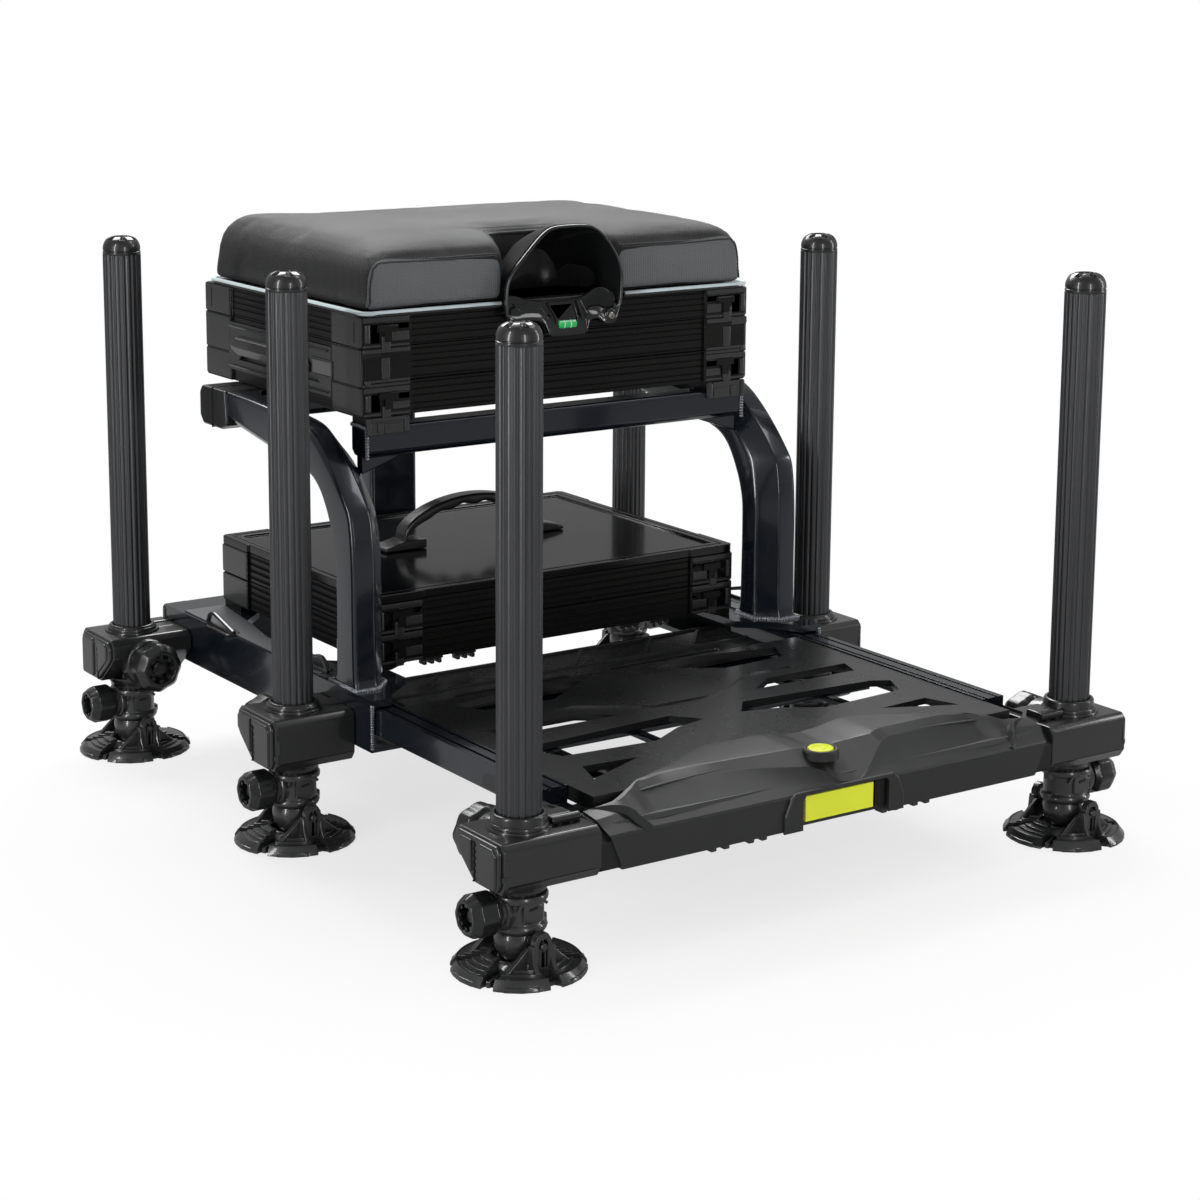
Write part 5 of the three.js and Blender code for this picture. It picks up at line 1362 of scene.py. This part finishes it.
HOOD_TOP = [(-68, 452), (-68.6, 463), (-67.8, 476), (-64.8, 486), (-57, 496.5), (-46, 508), (-36, 518), (-26, 526.4),
            (-16, 530.6), (0, 531.6), (14, 531.2), (25, 529.6), (34.5, 525), (44, 516), (52, 505.5), (58, 494),
            (60.8, 482), (61, 468), (60, 456)]
HOOD_LIP = [(57.6, 449), (54.6, 440), (50, 436.6), (43, 437), (37, 441.4), (30, 442.4), (25, 440.6), (22, 434),
            (17.4, 428.8), (-18, 428.8), (-22.6, 433), (-26.6, 440), (-34, 444.4), (-48, 446), (-58, 445.6),
            (-65, 447.6)]
HOOD_CENTRE = (-3, 478)


def hood_line(spread):
    """The mouth's outline, drawn smooth and shrunk towards its middle."""
    ring = []
    for x, z in eased_flat(HOOD_TOP, 3) + eased_flat(HOOD_LIP, 2):
        away = Vector((x - HOOD_CENTRE[0], z - HOOD_CENTRE[1]))
        ring.append(tuple(Vector(HOOD_CENTRE) + away * (1 - spread / away.length)))
    return ring


def hood():
    """The pole socket: a thin shell, wide at its mouth, that falls and narrows towards the back, and a near-black skin
    just inside it as painted shade of its hollow.
    """
    count = len(hood_line(0))

    def ring(y, spread, narrow, fall):
        made = []
        for x, z in hood_line(spread):
            high = max(0.0, (z - 452) / 80)
            made.append((x * (1 - narrow), y, z - fall * high if z > 452 else z + (466 - z) * min(1, (y - 22) / 10)))
        return made

    def cupped(front, sides):
        """Two skins that share their first ring, each closed by its last one."""
        caps = [Form(rings[-1], [list(range(count))]) for rings in (front, sides)]
        return joined(skin(front, ends=False), skin(sides[::-1], ends=False), *caps)

    mouth = [(23.4, 3.0, 0, 0), (22.2, 2.3, 0, 0), (22, 1.2, 0, 0), (22.6, 0.2, 0, 0), (24, -0.2, 0, 0)]
    wall = [(34, 0.2, 0.02, 1), (48, 1, 0.06, 4), (62, 2, 0.12, 8), (76, 3, 0.2, 12.5), (88, 4, 0.29, 16.5)]
    outside = [mouth[0], (40, 3.4, 0.03, 3), (60, 5, 0.12, 9), (80, 7, 0.24, 16), (91, 10, 0.36, 22)]
    shell = cupped([ring(*r) for r in (*mouth, *wall, (96, 6, 0.38, 20))], [ring(*r) for r in outside])

    # A near-black skin just inside the shell: painted shade of the socket's hollow.
    def shade_lining(inward, end):
        rows = [(y, spread - inward, narrow, fall) for y, spread, narrow, fall in wall]
        return [ring(*r) for r in ((27, -0.4, 0, 0), *rows, (end, 6 - inward, 0.38, 20))]

    return shell, cupped(shade_lining(0.8, 94), shade_lining(0.3, 95))


def hood_lip():
    """The apron below the mouth, with the pocket of the level, a rib and two screw bosses."""
    low = [(x, z) for x, z in hood_line(1.2) if z < 452]
    top = eased_flat([(-65, 456), (-63.6, 468), (-56, 469), (-46, 465.6), (-36, 463), (-10, 461.4), (12, 462),
                      (22, 465), (32, 470), (42, 471), (51, 465), (57.4, 457)], 3)
    made = [upright(plate(outline, holes, 0, rise, soft), y) for outline, holes, rise, soft, y in (
        (low[::-1] + top[::-1], [], 3.4, 0.8, 31),
        ([(-22, 461), (7, 461), (12, 445), (10.4, 432.6), (-13, 432.6), (-12.6, 445)],
         [[(-18.6, 457.6), (4.6, 457.6), (9, 445), (8.4, 435), (-10.8, 435), (-9.6, 445)]], 5.6, 0.7, 30.4),
        ([(-21, 460), (10, 460), (10, 433), (-13, 433)], [], 3.4, 0.4, 30.2),
        ([(10, 461), (15, 461), (27, 442), (23, 434), (19, 437)], [], 5, 0.9, 30),
        ([(-58, 462), (-40, 459), (-27, 456), (-20, 446), (-27, 443), (-52, 448)], [], 4.4, 1.2, 30),
        ([(30, 446), (42, 450), (43, 440), (34, 443)], [], 5, 1, 30))]
    made.append(aimed(lathe([(0, 0), (7.4, 0), (7.4, 5), (6.2, 6.4), (4.8, 6.6), (4.4, 5.6), (0, 5.6)], 32), "-y",
                      (49, 30, 444)))
    made.append(aimed(lathe([(0, 0), (7, 0), (7, 4), (5.6, 5.6), (0, 6)], 32), "-y", (-56.5, 30, 452.4)))
    floor = [[(x, y, z + (y - 30) * rise) for y in (30, 60, 84)]
             for x, z, rise in ((-60, 458, 0.1), (-40, 456, 0), (10, 455, 0), (34, 461, 0), (56, 457, 0))]
    made.append(skin(floor, closed=False, ends=False))
    return joined(*made)


hood_form, hood_shade_liner = hood()
piece("socket_hood", hood_form, hood_gloss, "seat_lid", ["pole_socket"], crisp=50)
piece("socket_lining", hood_shade_liner, hollow_black, "seat_lid", crisp=50)
piece("socket_lip", hood_lip(), hood_gloss, "seat_lid")
LEVEL_AT = (0, 26.6, 439.4)
vial_tube = lathe([(0, -9.6), (3.6, -9.6), (4.3, -8.8), (4.3, 8.8), (3.6, 9.6), (0, 9.6)], 28)
piece("lip_level", aimed(vial_tube, "x", LEVEL_AT), vial, "seat_lid")
bands = [lathe([(0, x - 0.5), (4.5, x - 0.5), (4.5, x + 0.5), (0, x + 0.5)], 24) for x in (-4, 3)]
piece("level_marks", aimed(joined(*bands), "x", LEVEL_AT), piping_white, "seat_lid")
screw = lathe([(0, 0), (3.4, 0), (3.4, 1), (2.6, 1.8), (1.6, 1.8), (1.3, 0.8), (0, 0.8)], 28)
piece("lip_screw", aimed(screw, "-y", (49, 24.6, 444)), steel, "seat_lid")


# Stage, light and camera

def ray_kinds(graph):
    """Whether a ray comes from the camera, and whether it was mirrored or refracted on its way."""
    path = graph.node("ShaderNodeLightPath")
    return (path.output("Is Camera Ray"),
            path.output("Is Glossy Ray").math("MAXIMUM", path.output("Is Transmission Ray")))


def studio_white(name, colour):
    """Pale floor: seen directly or in a reflection it is mostly plain white, and it keeps the shadow."""
    material = bpy.data.materials.new(name)
    material.use_nodes = True
    graph = Graph(material.node_tree)
    graph.tree.nodes.clear()
    direct, mirrored = ray_kinds(graph)
    seen = direct + mirrored * 0.75
    place = graph.node("ShaderNodeTexCoord", output="Object")
    distance = graph.node("ShaderNodeVectorMath", {"operation": "LENGTH"}, {0: place}, output="Value")
    far = graph.node("ShaderNodeMapRange", {"interpolation_type": "SMOOTHSTEP"},
                     {"Value": distance, "From Min": 0.2, "From Max": 0.75, "To Min": 0.72, "To Max": 1.0})
    lit = graph.node("ShaderNodeBsdfDiffuse", sockets={"Color": colour})
    glow = graph.node("ShaderNodeEmission", sockets={"Color": (1, 1, 1, 1), "Strength": 1 - mirrored * 0.75})
    graph.node("ShaderNodeOutputMaterial", sockets={"Surface": graph.node(
        "ShaderNodeMixShader", sockets={0: seen * far, 1: lit, 2: glow})})
    return material


floor_mesh = bpy.data.meshes.new("studio_floor")
reach, below = 60, -0.0004
floor_mesh.from_pydata([(-reach, -reach, below), (reach, -reach, below), (reach, reach, below),
                        (-reach, reach, below)], [], [(0, 1, 2, 3)])
floor = added("studio_floor", floor_mesh)
floor_mesh.materials.append(studio_white("studio_floor", (0.92, 0.92, 0.92, 1)))

world = bpy.data.worlds.new("studio")
bpy.context.scene.world = world
world.use_nodes = True
sky = Graph(world.node_tree)
sky.tree.nodes.clear()
direct, mirrored = ray_kinds(sky)
strength = direct * 0.88 + mirrored * 0.16 + 0.12
sky.node("ShaderNodeOutputWorld", sockets={"Surface": sky.node(
    "ShaderNodeBackground", sockets={"Color": (1, 1, 1, 1), "Strength": strength})})


def softbox(name, at, aim, size, power):
    light = bpy.data.lights.new(name, "AREA")
    light.shape = "RECTANGLE"
    light.size, light.size_y = size
    light.energy = power
    holder = added(name, light)
    holder.location = at
    holder.rotation_euler = (Vector(aim) - Vector(at)).to_track_quat("-Z", "Y").to_euler()


softbox("key_light", (-2.3, -0.5, 0.9), (0, 0, 0.3), (0.2, 2.2), 24)
softbox("front_light", (-0.5, -2.9, 0.9), (0, 0, 0.3), (0.3, 1.6), 15)
softbox("fill_light", (2.3, -1.2, 0.9), (0, 0, 0.3), (0.2, 2.0), 13)
softbox("top_light", (0.4, 1.4, 1.9), (0, 0, 0.35), (2.2, 1.1), 66)
softbox("edge_light", (1.1, -0.4, 2.0), (0, 0, 0.3), (0.6, 0.6), 4)

# The camera fitted to the photograph: its turns in degrees, its place in metres, and its lens.
CAMERA_TURNS = (34.415, 10.861, 0.371)
CAMERA_AT = (-1.34390, -1.99150, 0.78070)
FOCAL_LENGTH, SENSOR, SHIFT_Y = 79.458, 36, -0.12
yaw, pitch, roll = [math.radians(a) for a in CAMERA_TURNS]
ahead = Vector((math.sin(yaw) * math.cos(pitch), math.cos(yaw) * math.cos(pitch), -math.sin(pitch)))
right = Vector((math.cos(yaw), -math.sin(yaw), 0))
up = right.cross(ahead)
right_rolled = right * math.cos(roll) + up * math.sin(roll)
up_rolled = up * math.cos(roll) - right * math.sin(roll)
lens = bpy.data.cameras.new("photo_camera")
lens.sensor_width = SENSOR
lens.lens = FOCAL_LENGTH
lens.shift_y = SHIFT_Y
camera = added("photo_camera", lens)
turn = Matrix((right_rolled, up_rolled, -ahead)).transposed().to_4x4()
camera.matrix_world = Matrix.Translation(CAMERA_AT) @ turn
bpy.context.scene.camera = camera
bpy.context.scene.view_settings.view_transform = "Standard"
